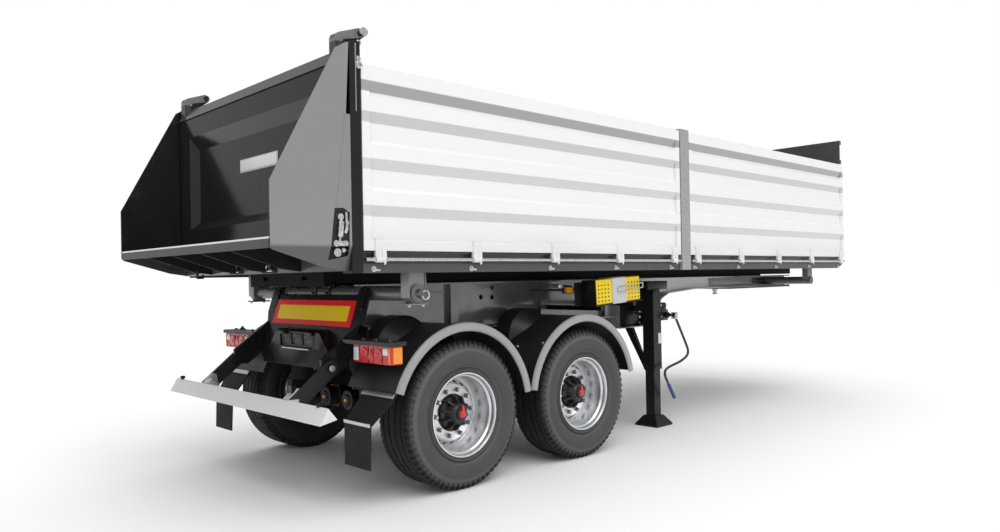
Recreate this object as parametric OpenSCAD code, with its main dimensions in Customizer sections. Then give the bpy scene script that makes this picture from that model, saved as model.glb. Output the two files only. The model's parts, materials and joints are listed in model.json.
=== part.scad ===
// Two-axle three-way tipper semi-trailer with drop sides, a top-hung tailgate and a rear chute.
// Millimetres, +X towards the kingpin, +Y to the left, +Z up, ground at z = 0.
// Inside the modules x is measured from the rear axle; row() moves it to the middle of the length.

/* [Load bed] */
// Height of the bed floor above the ground
floor_z = 1690; // [1600:5:1800]
// Width over the posts and drop sides, without the hinge eyes
bed_w = 2510; // [2400:5:2550]
// Distance from the rear axle back to the front of the rear posts
rear_overhang = 873; // [800:1:950]
// Length of one drop side
side_len = 3587; // [3400:1:3700]
// Height of a drop side
side_h = 1183; // [900:1:1300]
// Thickness of a drop side over its ribs
side_t = 48; // [40:1:60]
// Depth of the ribs pressed into a drop side
rib_depth = 24; // [12:1:26]
// Height step from one rib to the next
rib_pitch = 300; // [280:1:340]
// Width of the stake between the drop sides
stake_w = 146; // [100:1:180]
// Depth of a rear post along the trailer
post_d = 80; // [70:1:110]
// Height of a rear post above the floor
post_h = 1320; // [1250:1:1400]
// Height of the headboard above the floor
head_h = 1490; // [1400:1:1600]
// Length of the chute behind the rear posts
chute_len = 552; // [450:1:600]
// Height of the outer rail of the bed
rail_h = 144; // [130:1:170]
// Steps of the bed's cross members between the tipping shafts
cross_steps = 10; // [8:1:12]

/* [Chassis] */
// Height of the top of the chassis beams
chassis_z = 1470; // [1450:1:1480]
// Distance between the webs of the two chassis beams
beam_pitch = 1080; // [1000:5:1120]
// Width of a beam flange
flange_w = 160; // [140:1:180]
// Thickness of a beam flange
flange_t = 12; // [10:1:16]
// Thickness of a beam web
web_t = 12; // [8:1:16]
// Underside of the beams over the axles
beam_low = 1090; // [1060:1:1120]
// Underside of the deep beam section at the landing legs
beam_deep = 970; // [940:1:1000]
// Underside of the gooseneck
neck_low = 1334; // [1320:1:1345]
// Front end of the chassis
chassis_front = 6250; // [6150:1:6350]
// Place of the kingpin
kingpin_x = 5419; // [5300:1:5500]
// Radius of the kingpin's neck
kingpin_r = 25.4; // [25.4:0.1:44.5]

/* [Running gear] */
// Distance between the axles
axle_gap = 1310; // [1305:1:1400]
// Outer radius of a tyre
tyre_r = 530; // [510:1:540]
// Width of a tyre
tyre_w = 384; // [360:1:400]
// Distance of a wheel's middle plane from the centre line
wheel_y = 1048; // [1020:1:1055]
// Radius of a fender
fender_r = 645; // [630:1:650]
// Thickness of a fender
fender_t = 8; // [6:1:12]
// Width of a fender
fender_w = 600; // [560:1:620]

/* [Tipping gear] */
// Place of the rear tipping shaft
tip_x = -385; // [-400:1:-370]
// Height of the tipping shafts
tip_z = 1405; // [1398:1:1405]
// Place of the front tipping shaft
front_shaft_x = 5750; // [5650:1:5850]
// Place of the tipping cylinder
cyl_x = 2800; // [2760:1:2840]
// Radius of the cylinder barrel
cyl_r = 108; // [95:1:112]
// Length of the cylinder barrel
cyl_len = 760; // [740:1:780]

/* [Support and guard] */
// Place of the landing legs
leg_x = 2850; // [2800:1:2880]
// Distance of a landing leg from the centre line
leg_y = 811; // [780:1:840]
// Width of the underrun guard
guard_w = 2366; // [2200:1:2440]
// Place of the guard's folding pin
guard_pin_x = -785; // [-800:1:-770]
// Height of the guard's folding pin
guard_pin_z = 897; // [880:1:910]

/* [Hidden] */
$fn = 48;

// Clearances between pieces that move and pieces that stay
run_fit = 0.05;
move_gap = 10;

// Bed, along the trailer
half_w = bed_w / 2;
post_x1 = -rear_overhang;
post_x0 = post_x1 - post_d;
post_w = 110;
side_r0 = post_x1 + move_gap;
stake_x0 = side_r0 + side_len + move_gap;
stake_x1 = stake_x0 + stake_w;
side_f0 = stake_x1 + move_gap;
side_f1 = side_f0 + side_len;
front_x = side_f1 + 8;
lip_x = post_x0 - chute_len;
x_mid = (lip_x + front_x) / 2;
head_x0 = side_f1 - 80;
head_t = 50;

// Bed, in height and across
floor_t = 6;
floor_low = floor_z - floor_t;
rail_z0 = floor_z - rail_h;
cross_h = 100;
cross_z0 = floor_low - cross_h;
sub_gap = 14;
sub_z0 = chassis_z + sub_gap;
sub_y = 520;
sub_w = 80;
side_top = floor_z + side_h;
side_in = half_w - side_t;
rail_t = 8;
rail_web_y = half_w - 60;
rail_foot_y = half_w - 27;
rod_r = 12;
rod_y = half_w - 2;
rod_z = floor_z - 57;
cross_pitch = (front_shaft_x - tip_x) / cross_steps;

// Drop side sheet, heights above its bottom edge
rail_low_h = 62;
rail_top_h = 165;
rib_first = 221;
rib_foot = 70;
rib_flat = 90;
rib_head = 30;
rib_h = rib_foot + rib_flat + rib_head;
rib_count = floor((side_h - rail_top_h - rib_first - rib_h) / rib_pitch) + 1;
stile_w = 64;
strap_w = 72;
strap_t = 10;
strap_h = 128;
strap_end = 120;
strap_count = 5;
strap_pitch = (side_len - 2 * strap_end) / (strap_count - 1);
eye_r = 20;

// Tailgate and its hinge
gate_t = 75;
gate_x1 = post_x0 - 7;
gate_x0 = gate_x1 - gate_t;
gate_z0 = floor_z + 25;
gate_z1 = floor_z + 1258;
gate_half = half_w - 30;
gate_pin_x = post_x1 + 35;
gate_pin_z = floor_z + post_h + 70;
gate_pin_r = 20;
gate_arm_in = half_w - 120;
gate_arm_out = half_w - 45;
arm_plate = 12;

// Chassis
web_y = beam_pitch / 2;
web_in = web_y - web_t / 2;
web_out = web_y + web_t / 2;
tail_top = 1430;
tail_low = 850;
tail_x = -440;
tail_t = 12;
tail_half = 655;
tail_tilt = 18;
blade_t = 25;
shaft_r = 52;
journal_r = 45;
front_shaft_r = 45;
crank_x = 3034;
crank_z = 1094;

// Underside of a chassis beam from the tail to the front, as places and heights
beam_line = [
    [tail_front(beam_low + 100), beam_low + 100], [-200, beam_low], [2500, beam_low], [2580, beam_deep],
    [2960, beam_deep], [3320, 1250], [3450, 1300], [3960, neck_low], [chassis_front, neck_low]
];
tail_rise = beam_low + 100 + flange_t;
web_holes = [[773, 1342], [901, 1338], [903, 1420], [1600, 1390], [2200, 1390]];
web_hole_r = 21;
stiff_x = [403, 1460, 2380];
stiff_w = 80;

// Cross tubes between the beams, and the tanks hung from two of them
deep_tubes = [250, 1700, 2250];
deep_tube_z = 1250;
deep_tube_r = 60;
neck_tubes = [4200, 4900];
neck_tube_r = 42;
tank_x0 = 1640;
tank_len = 670;
tank_y = 300;
tank_z = 1060;
tank_r = 110;

// Coupler plate and the pin's collar
coupler_x0 = 4750;
coupler_t = 16;
collar_r = 36.5;
guard_pin_r = 20;

// Axles
axle_x = [0, axle_gap];
axle_r = 65;
spindle_r = 45;
arm_z0 = tyre_r + 70;
arm_z1 = arm_z0 + 90;
arm_half = 40;
hanger_x = 540;
hanger_z = arm_z0 + 45;
bellow_x = -330;
bellow_r = 140;
fender_out = wheel_y + tyre_w / 2;
fender_in = fender_out - fender_w;
bellow_y = fender_in - move_gap - bellow_r;
shock_x = 150;

// Wheel, radii and places along its axle measured from its middle plane
bead_r = 286;
rim_half = 162;
flange_r = 300;
seat_half = 148;
disc_t = 12;
hand_hole_r = 25;
hand_hole_at = 205;
hand_holes = 10;
hub_r = 132;
fin_t = 9;

// Tipping cylinder; trunnion and head ball are equally far from the tipping axis
trunnion_z = 1270;
trunnion_r = 40;
ball_z = 2 * tip_z - trunnion_z;
ball_r = 38;
barrel_z0 = 670;
stages = 4;
stage_step = 16;
stage_rise = 10;

// Front face of the sloping tail plate at a height
function tail_front(z) = tail_x - (tail_top - z) * tan(tail_tilt);
// Rear face of the tail plate at a height
function tail_back(z) = tail_front(z) - tail_t / cos(tail_tilt);
// Point on a circle about an axle
function on_axle(x, r, a) = [x + r * cos(a), tyre_r + r * sin(a)];
// Strip of a given height above a line of points
function strip_above(line, t) = concat(line, [for (i = [len(line) - 1 : -1 : 0]) line[i] + [0, t]]);

module row() {
    translate([-x_mid, 0, 0]) children();
}

module both() {
    children();
    mirror([0, 1, 0]) children();
}

// Box between two corners
module box(a, b) {
    translate(a) cube(b - a);
}

// Outline given as (x, z), between two places across the trailer
module slab_y(y0, y1) {
    translate([0, y1, 0]) rotate([90, 0, 0]) linear_extrude(y1 - y0) children();
}

// Outline given as (y, z), between two places along the trailer
module slab_x(x0, x1) {
    translate([x0, 0, 0]) rotate([90, 0, 90]) linear_extrude(x1 - x0) children();
}

// Round bar across the trailer
module bar_y(x, z, r, y0, y1) {
    translate([x, y0, z]) rotate([-90, 0, 0]) cylinder(r = r, h = y1 - y0);
}

// Round bar along the trailer
module bar_x(y, z, r, x0, x1) {
    translate([x0, y, z]) rotate([0, 90, 0]) cylinder(r = r, h = x1 - x0);
}

// Round bar between two points
module rod(a, b, r) {
    d = b - a;
    len_xy = norm([d[0], d[1]]);
    translate(a) rotate([0, atan2(len_xy, d[2]), atan2(d[1], d[0])]) cylinder(r = r, h = norm(d));
}

// Local frame on the rear face of the tail plate at a height
module on_tail(z) {
    translate([tail_front(z), 0, z]) rotate([0, tail_tilt, 0]) children();
}

// Chassis

module chassis_beams() {
    top_line = [[tail_front(chassis_z), chassis_z], [chassis_front, chassis_z]];
    outline = concat(beam_line, [top_line[1], top_line[0]]);
    low_flange = concat(
        [for (i = [len(beam_line) - 1 : -1 : 1]) beam_line[i] + [0, flange_t]],
        [[tail_front(tail_rise), tail_rise]]
    );
    color("dimgray") row() both() {
        difference() {
            slab_y(web_in, web_out) polygon(outline);
            bar_y(tip_x, tip_z, shaft_r, 0, half_w);
            bar_y(front_shaft_x, tip_z - 3, front_shaft_r, 0, half_w);
            bar_y(crank_x, crank_z, 24, 0, half_w);
            for (p = web_holes) bar_y(p[0], p[1], web_hole_r, 0, half_w);
        }
        for (x = stiff_x)
            box([x, web_out, beam_low + flange_t], [x + stiff_w, web_out + 45, chassis_z - flange_t]);
        slab_y(web_y - flange_w / 2, web_y + flange_w / 2) {
            polygon(concat(beam_line, low_flange));
            polygon([for (p = strip_above(top_line, flange_t)) p - [0, flange_t]]);
        }
    }
}

module cross_tubes() {
    color("dimgray") row() {
        for (x = deep_tubes) bar_y(x, deep_tube_z, deep_tube_r, -web_in, web_in);
        for (x = neck_tubes) bar_y(x, (neck_low + chassis_z) / 2, neck_tube_r, -web_in, web_in);
        box([-160, -web_in, beam_low + flange_t], [-60, web_in, beam_low + 160]);
        box([chassis_front - 60, -web_in, neck_low + flange_t],
            [chassis_front, web_in, chassis_z - flange_t]);
    }
}

module tipping_shafts() {
    journal_y0 = half_w - 180;
    journal_y1 = half_w - 72;
    color("dimgray") row() {
        bar_y(tip_x, tip_z, shaft_r, -journal_y0, journal_y0);
        both() bar_y(tip_x, tip_z, journal_r, journal_y0, journal_y1);
        both() bar_y(tip_x, tip_z, journal_r + 18, journal_y1, journal_y1 + 8);
        bar_y(front_shaft_x, tip_z - 3, front_shaft_r, -half_w + 110, half_w - 110);
    }
}

// Number-plate holder: an upright face on a wedge behind the tail plate, outline given as (y, z)
holder_x = -648;
holder_z0 = 864;
holder_z1 = 1134;
holder_mid = 980;
holder_half = 452;
holder_top = 308;

module rear_plate() {
    recess = [260, 1001, 1114];
    waist = tail_half + 20;
    ear = tail_half + 65;
    side = [[560, 0], [waist, 110], [waist, 320], [ear, 420], [ear, 592]];
    other = [for (i = [len(side) - 1 : -1 : 0]) [-side[i][0], side[i][1]]];
    color("dimgray") row() {
        on_tail(tail_low) slab_x(-tail_t, 0) polygon(concat(side, other));
        both() on_tail(1290) box([-tail_t - 10, 596, 0], [1 - tail_t, 679, 152]);
        difference() {
            intersection() {
                slab_x(holder_x, tail_front(tail_top)) polygon([
                    [-holder_top, holder_z0], [holder_top, holder_z0], [holder_half, holder_mid],
                    [holder_top, holder_z1], [-holder_top, holder_z1], [-holder_half, holder_mid]
                ]);
                slab_y(-holder_half, holder_half) polygon([
                    [holder_x, holder_z0], [tail_back(holder_z0) + 1, holder_z0],
                    [tail_back(holder_z1) + 1, holder_z1], [holder_x + 18, holder_z1],
                    [holder_x, holder_z1 - 18]
                ]);
            }
            box([holder_x - 1, -recess[0], recess[1]], [holder_x + 14, recess[0], recess[2]]);
        }
    }
}

board_half = 582;
board_rise = 100;
board_t = 8;
board_z = tail_top - 178;

module marker_board() {
    color("gold") row() on_tail(board_z)
        box([-tail_t - board_t, -board_half, -board_rise], [-tail_t, board_half, board_rise]);
}

module guard_brackets() {
    pin = [guard_pin_x, guard_pin_z];
    blade = [
        [tail_back(1180), 1180], [tail_back(1150) - 30, 1150], pin + [-58, 62], pin + [-52, -52],
        pin + [55, -62], [tail_back(tail_low + 60), tail_low + 60]
    ];
    color("dimgray") row() both() {
        slab_y(tail_half, tail_half + blade_t) polygon(blade);
        bar_y(guard_pin_x, guard_pin_z, guard_pin_r, tail_half, tail_half + 70);
        bar_y(guard_pin_x, guard_pin_z, guard_pin_r + 10, tail_half + 62, tail_half + 70);
    }
}

module coupler_plate() {
    color("dimgray") row() difference() {
        box([coupler_x0, -web_y - flange_w / 2, neck_low - coupler_t],
            [chassis_front, web_y + flange_w / 2, neck_low]);
        translate([kingpin_x, 0, neck_low - 50]) cylinder(r = collar_r + 0.5, h = 100);
    }
}

module kingpin() {
    face = neck_low - coupler_t;
    color("silver") row() translate([kingpin_x, 0, 0]) {
        translate([0, 0, neck_low]) cylinder(r = 90, h = 20);
        translate([0, 0, face - 35]) cylinder(r = collar_r, h = 35 + coupler_t);
        translate([0, 0, face - 70]) cylinder(r = kingpin_r, h = 35);
        translate([0, 0, face - 84]) cylinder(r = 35.7, h = 14);
    }
}

module landing_legs() {
    tube = 65;
    inner = 52;
    foot = 133;
    tube_top = chassis_z - 140;
    plate_z0 = chassis_z - 330;
    plate_z1 = chassis_z - 30;
    color("dimgray") row() both() translate([leg_x, leg_y, 0]) {
        box([-tube, -tube, 560], [tube, tube, tube_top]);
        box([-inner, -inner, 100], [inner, inner, 560]);
        box([-foot, -foot, 0], [foot, foot, 16]);
        intersection() {
            slab_y(-foot, foot) polygon([[-foot, 16], [foot, 16], [70, 100], [-70, 100]]);
            slab_x(-foot, foot) polygon([[-foot, 16], [foot, 16], [70, 100], [-70, 100]]);
        }
        for (x = [-tube, tube - 16]) box([x, web_out - leg_y, plate_z0], [x + 16, -tube, plate_z1]);
        box([-tube, -tube - 14, plate_z0], [tube, -tube, plate_z1]);
        slab_x(-40, 0) polygon([
            [-tube, 540], [-tube, 620], [web_y + 50 - leg_y, beam_deep], [web_y - 40 - leg_y, beam_deep]
        ]);
    }
}

module landing_crank() {
    grip_y = -leg_y - 145;
    elbow = [[crank_x, grip_y, crank_z], [3230, grip_y, 700], [2960, grip_y, 560], [crank_x, grip_y, 262]];
    grip_from = elbow[2] + 0.6 * (elbow[3] - elbow[2]);
    color("dimgray") row() {
        bar_y(crank_x, crank_z, 15, grip_y, leg_y);
        both() box([leg_x + 65, leg_y - 45, crank_z - 55], [crank_x + 40, leg_y + 45, crank_z + 55]);
        for (i = [0 : len(elbow) - 2]) rod(elbow[i], elbow[i + 1], 11);
        for (p = [elbow[1], elbow[2]]) translate(p) sphere(r = 13);
        bar_y(crank_x, crank_z, 22, grip_y - 14, grip_y + 14);
        rod(grip_from, elbow[3], 17);
    }
}

// Axles and suspension

module hangers() {
    color("dimgray") row() both() for (x = axle_x) {
        for (y = [web_y - arm_half - 22, web_y + arm_half + 2])
            slab_y(y, y + 20) polygon([
                [x + hanger_x - 70, hanger_z - 70], [x + hanger_x + 60, hanger_z - 70],
                [x + hanger_x + 110, beam_low], [x + hanger_x - 110, beam_low]
            ]);
        box([x + hanger_x + 20, web_y - arm_half - 2, arm_z1 + 60],
            [x + hanger_x + 36, web_y + arm_half + 2, beam_low]);
        bar_y(x + hanger_x, hanger_z, 25, web_y - arm_half - 30, web_y + arm_half + 30);
    }
}

module trailing_arms() {
    color("dimgray") row() both() for (x = axle_x) difference() {
        union() {
            slab_y(web_y - arm_half, web_y + arm_half) polygon([
                [x - 420, arm_z0 + 30], [x - 420, arm_z1], [x + hanger_x + 50, arm_z1],
                [x + hanger_x + 50, arm_z0], [x - 120, arm_z0]
            ]);
            box([x - 95, web_y - 55, tyre_r], [x + 95, web_y + 55, arm_z0]);
        }
        bar_y(x, tyre_r, axle_r, 0, half_w);
        bar_y(x + hanger_x, hanger_z, 25, 0, half_w);
    }
}

module axles() {
    tube_end = wheel_y - seat_half - 7;
    chamber_y = 160;
    chamber_z = tyre_r + 35;
    chamber_r = 76;
    cam_x = -100;
    cam_z = tyre_r - 42;
    color("dimgray") row() for (x = axle_x) {
        bar_y(x, tyre_r, axle_r, -tube_end, tube_end);
        both() {
            bar_y(x, tyre_r, spindle_r, tube_end, wheel_y + 80);
            bar_x(chamber_y, chamber_z, chamber_r, x - 310, x - 120);
            bar_x(chamber_y, chamber_z, chamber_r + 9, x - 226, x - 210);
            box([x - 130, chamber_y - 40, cam_z - 25], [x - 30, chamber_y + 40, chamber_z + 40]);
            bar_y(x + cam_x, cam_z, 18, chamber_y, tube_end);
            box([x + cam_x - 25, tube_end - 16, cam_z - 25], [x, tube_end, tyre_r]);
        }
    }
}

module air_bellows() {
    color("black") row() both() for (x = axle_x) translate([x + bellow_x, bellow_y, arm_z1]) {
        h = beam_low - arm_z1;
        rotate_extrude() polygon([
            [0, 0], [95, 0], [85, 110], [115, 120], [bellow_r, 150], [bellow_r, h - 60], [115, h - 22],
            [105, h], [0, h]
        ]);
    }
}

module shock_absorbers() {
    color("dimgray") row() both() for (x = axle_x) translate([x + shock_x, web_y, arm_z1]) {
        h = beam_low - arm_z1;
        cylinder(r = 28, h = h);
        translate([0, 0, h * 0.4]) cylinder(r = 38, h = h * 0.5);
    }
}

// Angles of the front and rear edge of the fenders on the rear and front axle
fender_angles = [[9, 160], [12, 171]];

lip_w = 22;
lip_depth = 66;
lip_out = 15;
bulge_x = -228;
bulge_z = 998;
bulge_r = 242;
bulge_y = fender_in + 165;
bulge_end = bulge_y + 110;

// Space of a fender before it is hollowed: the round of the wheel and the bulge over the air bellow
module fender_body(x, t) {
    bar_y(x, tyre_r, fender_r - t, fender_in - t, fender_out - lip_w + t, $fn = 96);
    bar_y(x + bulge_x, bulge_z, bulge_r - t, fender_in - t, bulge_y, $fn = 64);
    translate([x + bulge_x, bulge_y, bulge_z]) rotate([-90, 0, 0])
        cylinder(r1 = bulge_r - t, r2 = bulge_r - 130 - t, h = bulge_end - bulge_y, $fn = 64);
}

// Part of the round between two angles about an axle
module fender_sector(x, a) {
    far = 3 * fender_r;
    slab_y(fender_in, fender_out + lip_w) translate([x, tyre_r]) polygon([
        [0, 0], far * [cos(a[0]), sin(a[0])], [far, far], [-far, far], far * [cos(a[1]), sin(a[1])]
    ]);
}

module fenders() {
    color("black") row() both() for (i = [0, 1]) intersection() {
        difference() {
            fender_body(axle_x[i], 0);
            fender_body(axle_x[i], fender_t);
        }
        fender_sector(axle_x[i], fender_angles[i]);
    }
}

module fender_lips() {
    r1 = fender_r + lip_out;
    r0 = r1 - lip_depth;
    y0 = fender_out - lip_w;
    y1 = fender_out + 5;
    color("gray") row() both() for (i = [0, 1]) intersection() {
        translate([axle_x[i], 0, tyre_r]) rotate([-90, 0, 0]) rotate_extrude($fn = 96) polygon([
            [r0, y1 - 16], [r0 + 6, y1 - 5], [r0 + 16, y1], [r1 - 18, y1], [r1 - 6, y1 - 6], [r1, y1 - 18],
            [r1, y0 + 6], [r1 - 6, y0], [fender_r - fender_t, y0], [r1 - 24, y1 - 14], [r0 + 8, y1 - 14]
        ]);
        fender_sector(axle_x[i], fender_angles[i]);
    }
}

module fender_stays() {
    r = fender_r - fender_t;
    y1 = fender_out - 60;
    color("dimgray") row() both() for (x = axle_x, a = [-10, 10])
        intersection() {
            translate([x, 0, tyre_r]) rotate([0, a, 0]) box([-22, web_out, r - 40], [22, y1, r + 20]);
            bar_y(x, tyre_r, r, web_out, y1, $fn = 240);
        }
}

module mud_flaps() {
    flap_t = 10;
    flap_w = 376;
    y1 = fender_out - 14;
    y0 = y1 - flap_w;
    fold = [-fender_r - 128, tyre_r + 16];
    end = [fold[0] - 8, tyre_r / 2];
    top_out = on_axle(0, fender_r, fender_angles[0][1]);
    top_in = on_axle(0, fender_r - fender_t, fender_angles[0][1]);
    color("black") row() both() intersection() {
        slab_y(y0, y1) polygon([
            top_in, top_out, fold - [flap_t / 2, 0], end - [flap_t / 2, 0], end + [flap_t / 2, 0],
            fold + [flap_t / 2, 0]
        ]);
        slab_x(end[0] - flap_t, top_in[0] + flap_t) polygon([
            [y0 + 14, end[1]], [y1 - 66, end[1]], [y1 - 66, fold[1]], [y1, top_out[1] - 60],
            [y1, top_out[1] + flap_t], [y0, top_out[1] + flap_t], [y0, fold[1] + 60]
        ]);
    }
}

// Lamps and small gear

lamp_x0 = -655;
lamp_y1 = half_w - 25;
lamp_z0 = 938;
lamp_z1 = 1062;
lamp_w = 436;
lamp_wrap = 94;
lens_t = 24;

module lamp_housings() {
    hood_y = tail_half + blade_t;
    hood_h = 28;
    color("black") row() both() {
        box([lamp_x0 + lens_t, lamp_y1 - lamp_w - 4, lamp_z0],
            [lamp_x0 + lamp_wrap, lamp_y1 - lens_t, lamp_z1]);
        difference() {
            box([lamp_x0 - 18, hood_y, lamp_z1], [lamp_x0 + 125, lamp_y1 + 4, lamp_z1 + hood_h]);
            box([lamp_x0 - 12, hood_y + 6, lamp_z1 - 1], [lamp_x0 + 126, lamp_y1 - 2, lamp_z1 + hood_h - 6]);
        }
        box([lamp_x0 + lens_t, lamp_y1 - lamp_w + 60, lamp_z1],
            [lamp_x0 + 110, lamp_y1 - 60, lamp_z1 + hood_h - 6]);
    }
}

module lamp_lenses() {
    z0 = lamp_z0 + 3;
    z1 = lamp_z1 - 3;
    color("red") row() both() translate([0, 0, z0]) linear_extrude(z1 - z0) polygon([
        [lamp_x0, lamp_y1 - lamp_w], [lamp_x0 + lens_t, lamp_y1 - lamp_w],
        [lamp_x0 + lens_t, lamp_y1 - lens_t], [lamp_x0 + lamp_wrap, lamp_y1 - lens_t],
        [lamp_x0 + lamp_wrap, lamp_y1], [lamp_x0 + 16, lamp_y1],
        [lamp_x0, lamp_y1 - 16]
    ]);
}

chock_x0 = 1629;
chock_len = 305;
chock_z0 = 1262;
chock_out = half_w - 65;
chock_w = 154;

module chocks() {
    color("gold") row() for (x = [chock_x0, chock_x0 + chock_len + 14])
        slab_y(-chock_out, chock_w - chock_out) polygon([
            [x, chock_z0], [x + chock_len, chock_z0], [x + chock_len, chock_z0 + 60],
            [x + chock_len - 50, chock_z0 + 215], [x + 60, chock_z0 + 215], [x, chock_z0 + 140]
        ]);
}

module chock_holder() {
    x1 = chock_x0 + 2 * chock_len + 14;
    back = chock_w - chock_out + 4;
    color("dimgray") row() {
        box([chock_x0 - 20, -chock_out - 5, chock_z0 - 10], [x1 + 20, back + 12, chock_z0]);
        for (x = [chock_x0 + 60, x1 - 100])
            box([x, 10 - chock_out, chock_z0 - 50], [x + 40, -web_out, chock_z0 - 10]);
        box([chock_x0 - 95, back, chock_z0 - 5], [x1 + 20, back + 8, chock_z0 + 200]);
    }
}

marker_x = 1390;
marker_y = 980;
marker_z = chassis_z - 85;

module side_markers() {
    color("orange") row() both() {
        box([marker_x - 10, web_out, marker_z - 10], [marker_x + 10, marker_y, marker_z + 10]);
        box([marker_x - 45, marker_y, marker_z - 23], [marker_x + 51, marker_y + 25, marker_z + 23]);
    }
}

module air_tanks() {
    color("dimgray") row() both() {
        translate([tank_x0, tank_y, tank_z]) rotate([0, 90, 0]) rotate_extrude() polygon([
            [0, 0], [tank_r * 0.5, 8], [tank_r * 0.85, 28], [tank_r, 60], [tank_r, tank_len - 60],
            [tank_r * 0.85, tank_len - 28], [tank_r * 0.5, tank_len - 8], [0, tank_len]
        ]);
        for (x = [deep_tubes[1], deep_tubes[2]]) difference() {
            box([x - 30, tank_y - 40, tank_z], [x + 30, tank_y + 40, deep_tube_z - 20]);
            bar_y(x, deep_tube_z, deep_tube_r, 0, web_in);
        }
    }
}

// Tipping cylinder

cradle_x0 = cyl_x - 360;
cradle_x1 = cyl_x + 370;

module cylinder_cradle() {
    beam_w = 80;
    color("dimgray") row() {
        box([cradle_x0, -web_in, trunnion_z - 55], [cradle_x0 + beam_w, web_in, trunnion_z + 65]);
        box([cradle_x1 - beam_w, -web_in, trunnion_z - 45], [cradle_x1, web_in, trunnion_z + 75]);
        both() difference() {
            box([cradle_x0 + beam_w, 150, trunnion_z - 50], [cradle_x1 - beam_w, 180, trunnion_z + 55]);
            bar_y(cyl_x, trunnion_z, trunnion_r + run_fit, 100, 200);
        }
    }
}

// Outer radius of a stage, where stage 0 is the barrel
function stage_r(i) = cyl_r - i * stage_step;
// Top of a stage at rest
function stage_top(i) = barrel_z0 + cyl_len + i * stage_rise;

module cylinder_barrel() {
    color("dimgray") row() translate([cyl_x, 0, 0]) {
        difference() {
            translate([0, 0, barrel_z0]) cylinder(r = stage_r(0), h = cyl_len);
            translate([0, 0, barrel_z0 + 30]) cylinder(r = stage_r(1) + run_fit, h = cyl_len);
        }
        both() bar_y(0, trunnion_z, trunnion_r, stage_r(0) - 5, 186);
    }
}

module stage_tube(i) {
    z0 = barrel_z0 + 30 + 10 * i;
    difference() {
        translate([cyl_x, 0, z0]) cylinder(r = stage_r(i), h = stage_top(i) - z0);
        translate([cyl_x, 0, z0 + 10]) cylinder(r = stage_r(i + 1) + run_fit, h = cyl_len + 200);
    }
}

module cylinder_stage_1() {
    color("silver") row() stage_tube(1);
}

module cylinder_stage_2() {
    color("silver") row() stage_tube(2);
}

module cylinder_stage_3() {
    color("silver") row() stage_tube(3);
}

module cylinder_stage_4() {
    z0 = barrel_z0 + 30 + 10 * stages;
    color("silver") row() translate([cyl_x, 0, 0]) {
        translate([0, 0, z0]) cylinder(r = stage_r(stages), h = stage_top(stages) - z0);
        translate([0, 0, stage_top(stages)]) cylinder(r = 26, h = ball_z - stage_top(stages));
        translate([0, 0, ball_z]) sphere(r = ball_r);
    }
}

module rest_pads() {
    x0 = tip_x + 45;
    x1 = front_shaft_x - 150;
    color("black") row() both() box([x0, sub_y - 30, chassis_z], [x1, sub_y + 30, sub_z0]);
}

// Load bed

module bed_floor() {
    sill_y = half_w - post_w;
    color("dimgray") row() {
        box([post_x0, -sill_y, floor_low], [post_x1 + 1, sill_y, floor_z]);
        box([post_x1, -rail_web_y - 2, floor_low], [head_x0 + head_t, rail_web_y + 2, floor_z]);
    }
}

module bed_rails() {
    profile = [
        [rail_web_y - rail_t, floor_low], [rail_web_y - rail_t, rail_z0 + 52],
        [rail_foot_y - rail_t, rail_z0 + 52], [rail_foot_y - rail_t, rail_z0], [rail_foot_y, rail_z0],
        [rail_foot_y, rail_z0 + 62], [rail_web_y, rail_z0 + 62], [rail_web_y, floor_low - 10],
        [half_w - 33, floor_low - 10], [half_w - 33, floor_low]
    ];
    color("dimgray") row() both() difference() {
        slab_x(post_x1, front_x) polygon(profile);
        slab_y(rail_web_y - 20, half_w)
            polygon([[front_x - 150, rail_z0 - 1], [front_x + 1, rail_z0 - 1], [front_x + 1, rail_z0 + 60]]);
        slab_x(stake_x0, stake_x1)
            translate([rail_web_y, rail_z0 - 1]) square([half_w - rail_web_y, rail_h + 1]);
    }
}

module bed_crossmembers() {
    y1 = rail_web_y - rail_t;
    t = 8;
    half = 35;
    color("dimgray") row() {
        for (i = [0 : cross_steps]) translate([tip_x + i * cross_pitch, 0, 0]) slab_y(-y1, y1) polygon([
            [-half, cross_z0], [half, cross_z0], [half, cross_z0 + t], [t - half, cross_z0 + t],
            [t - half, floor_low - t], [half, floor_low - t], [half, floor_low], [-half, floor_low]
        ]);
        box([head_x0, -y1, cross_z0], [head_x0 + 60, y1, floor_low]);
    }
}

sub_x0 = -740;
beam_end_d = 70;
beam_end_z = 1462;

module bed_subframe() {
    y1 = sub_y + sub_w / 2;
    color("dimgray") row() {
        both() box([sub_x0 + beam_end_d - 1, sub_y - sub_w / 2, sub_z0], [head_x0, y1, cross_z0]);
        difference() {
            box([sub_x0, -y1, beam_end_z], [sub_x0 + beam_end_d, y1, cross_z0]);
            for (y = [-300, 300]) box([sub_x0 - 1, y - 45, sub_z0 + 26], [sub_x0 + 20, y + 45, sub_z0 + 56]);
        }
        box([sub_x0, -rail_web_y + rail_t, cross_z0], [sub_x0 + beam_end_d, rail_web_y - rail_t, floor_low]);
    }
}

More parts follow.
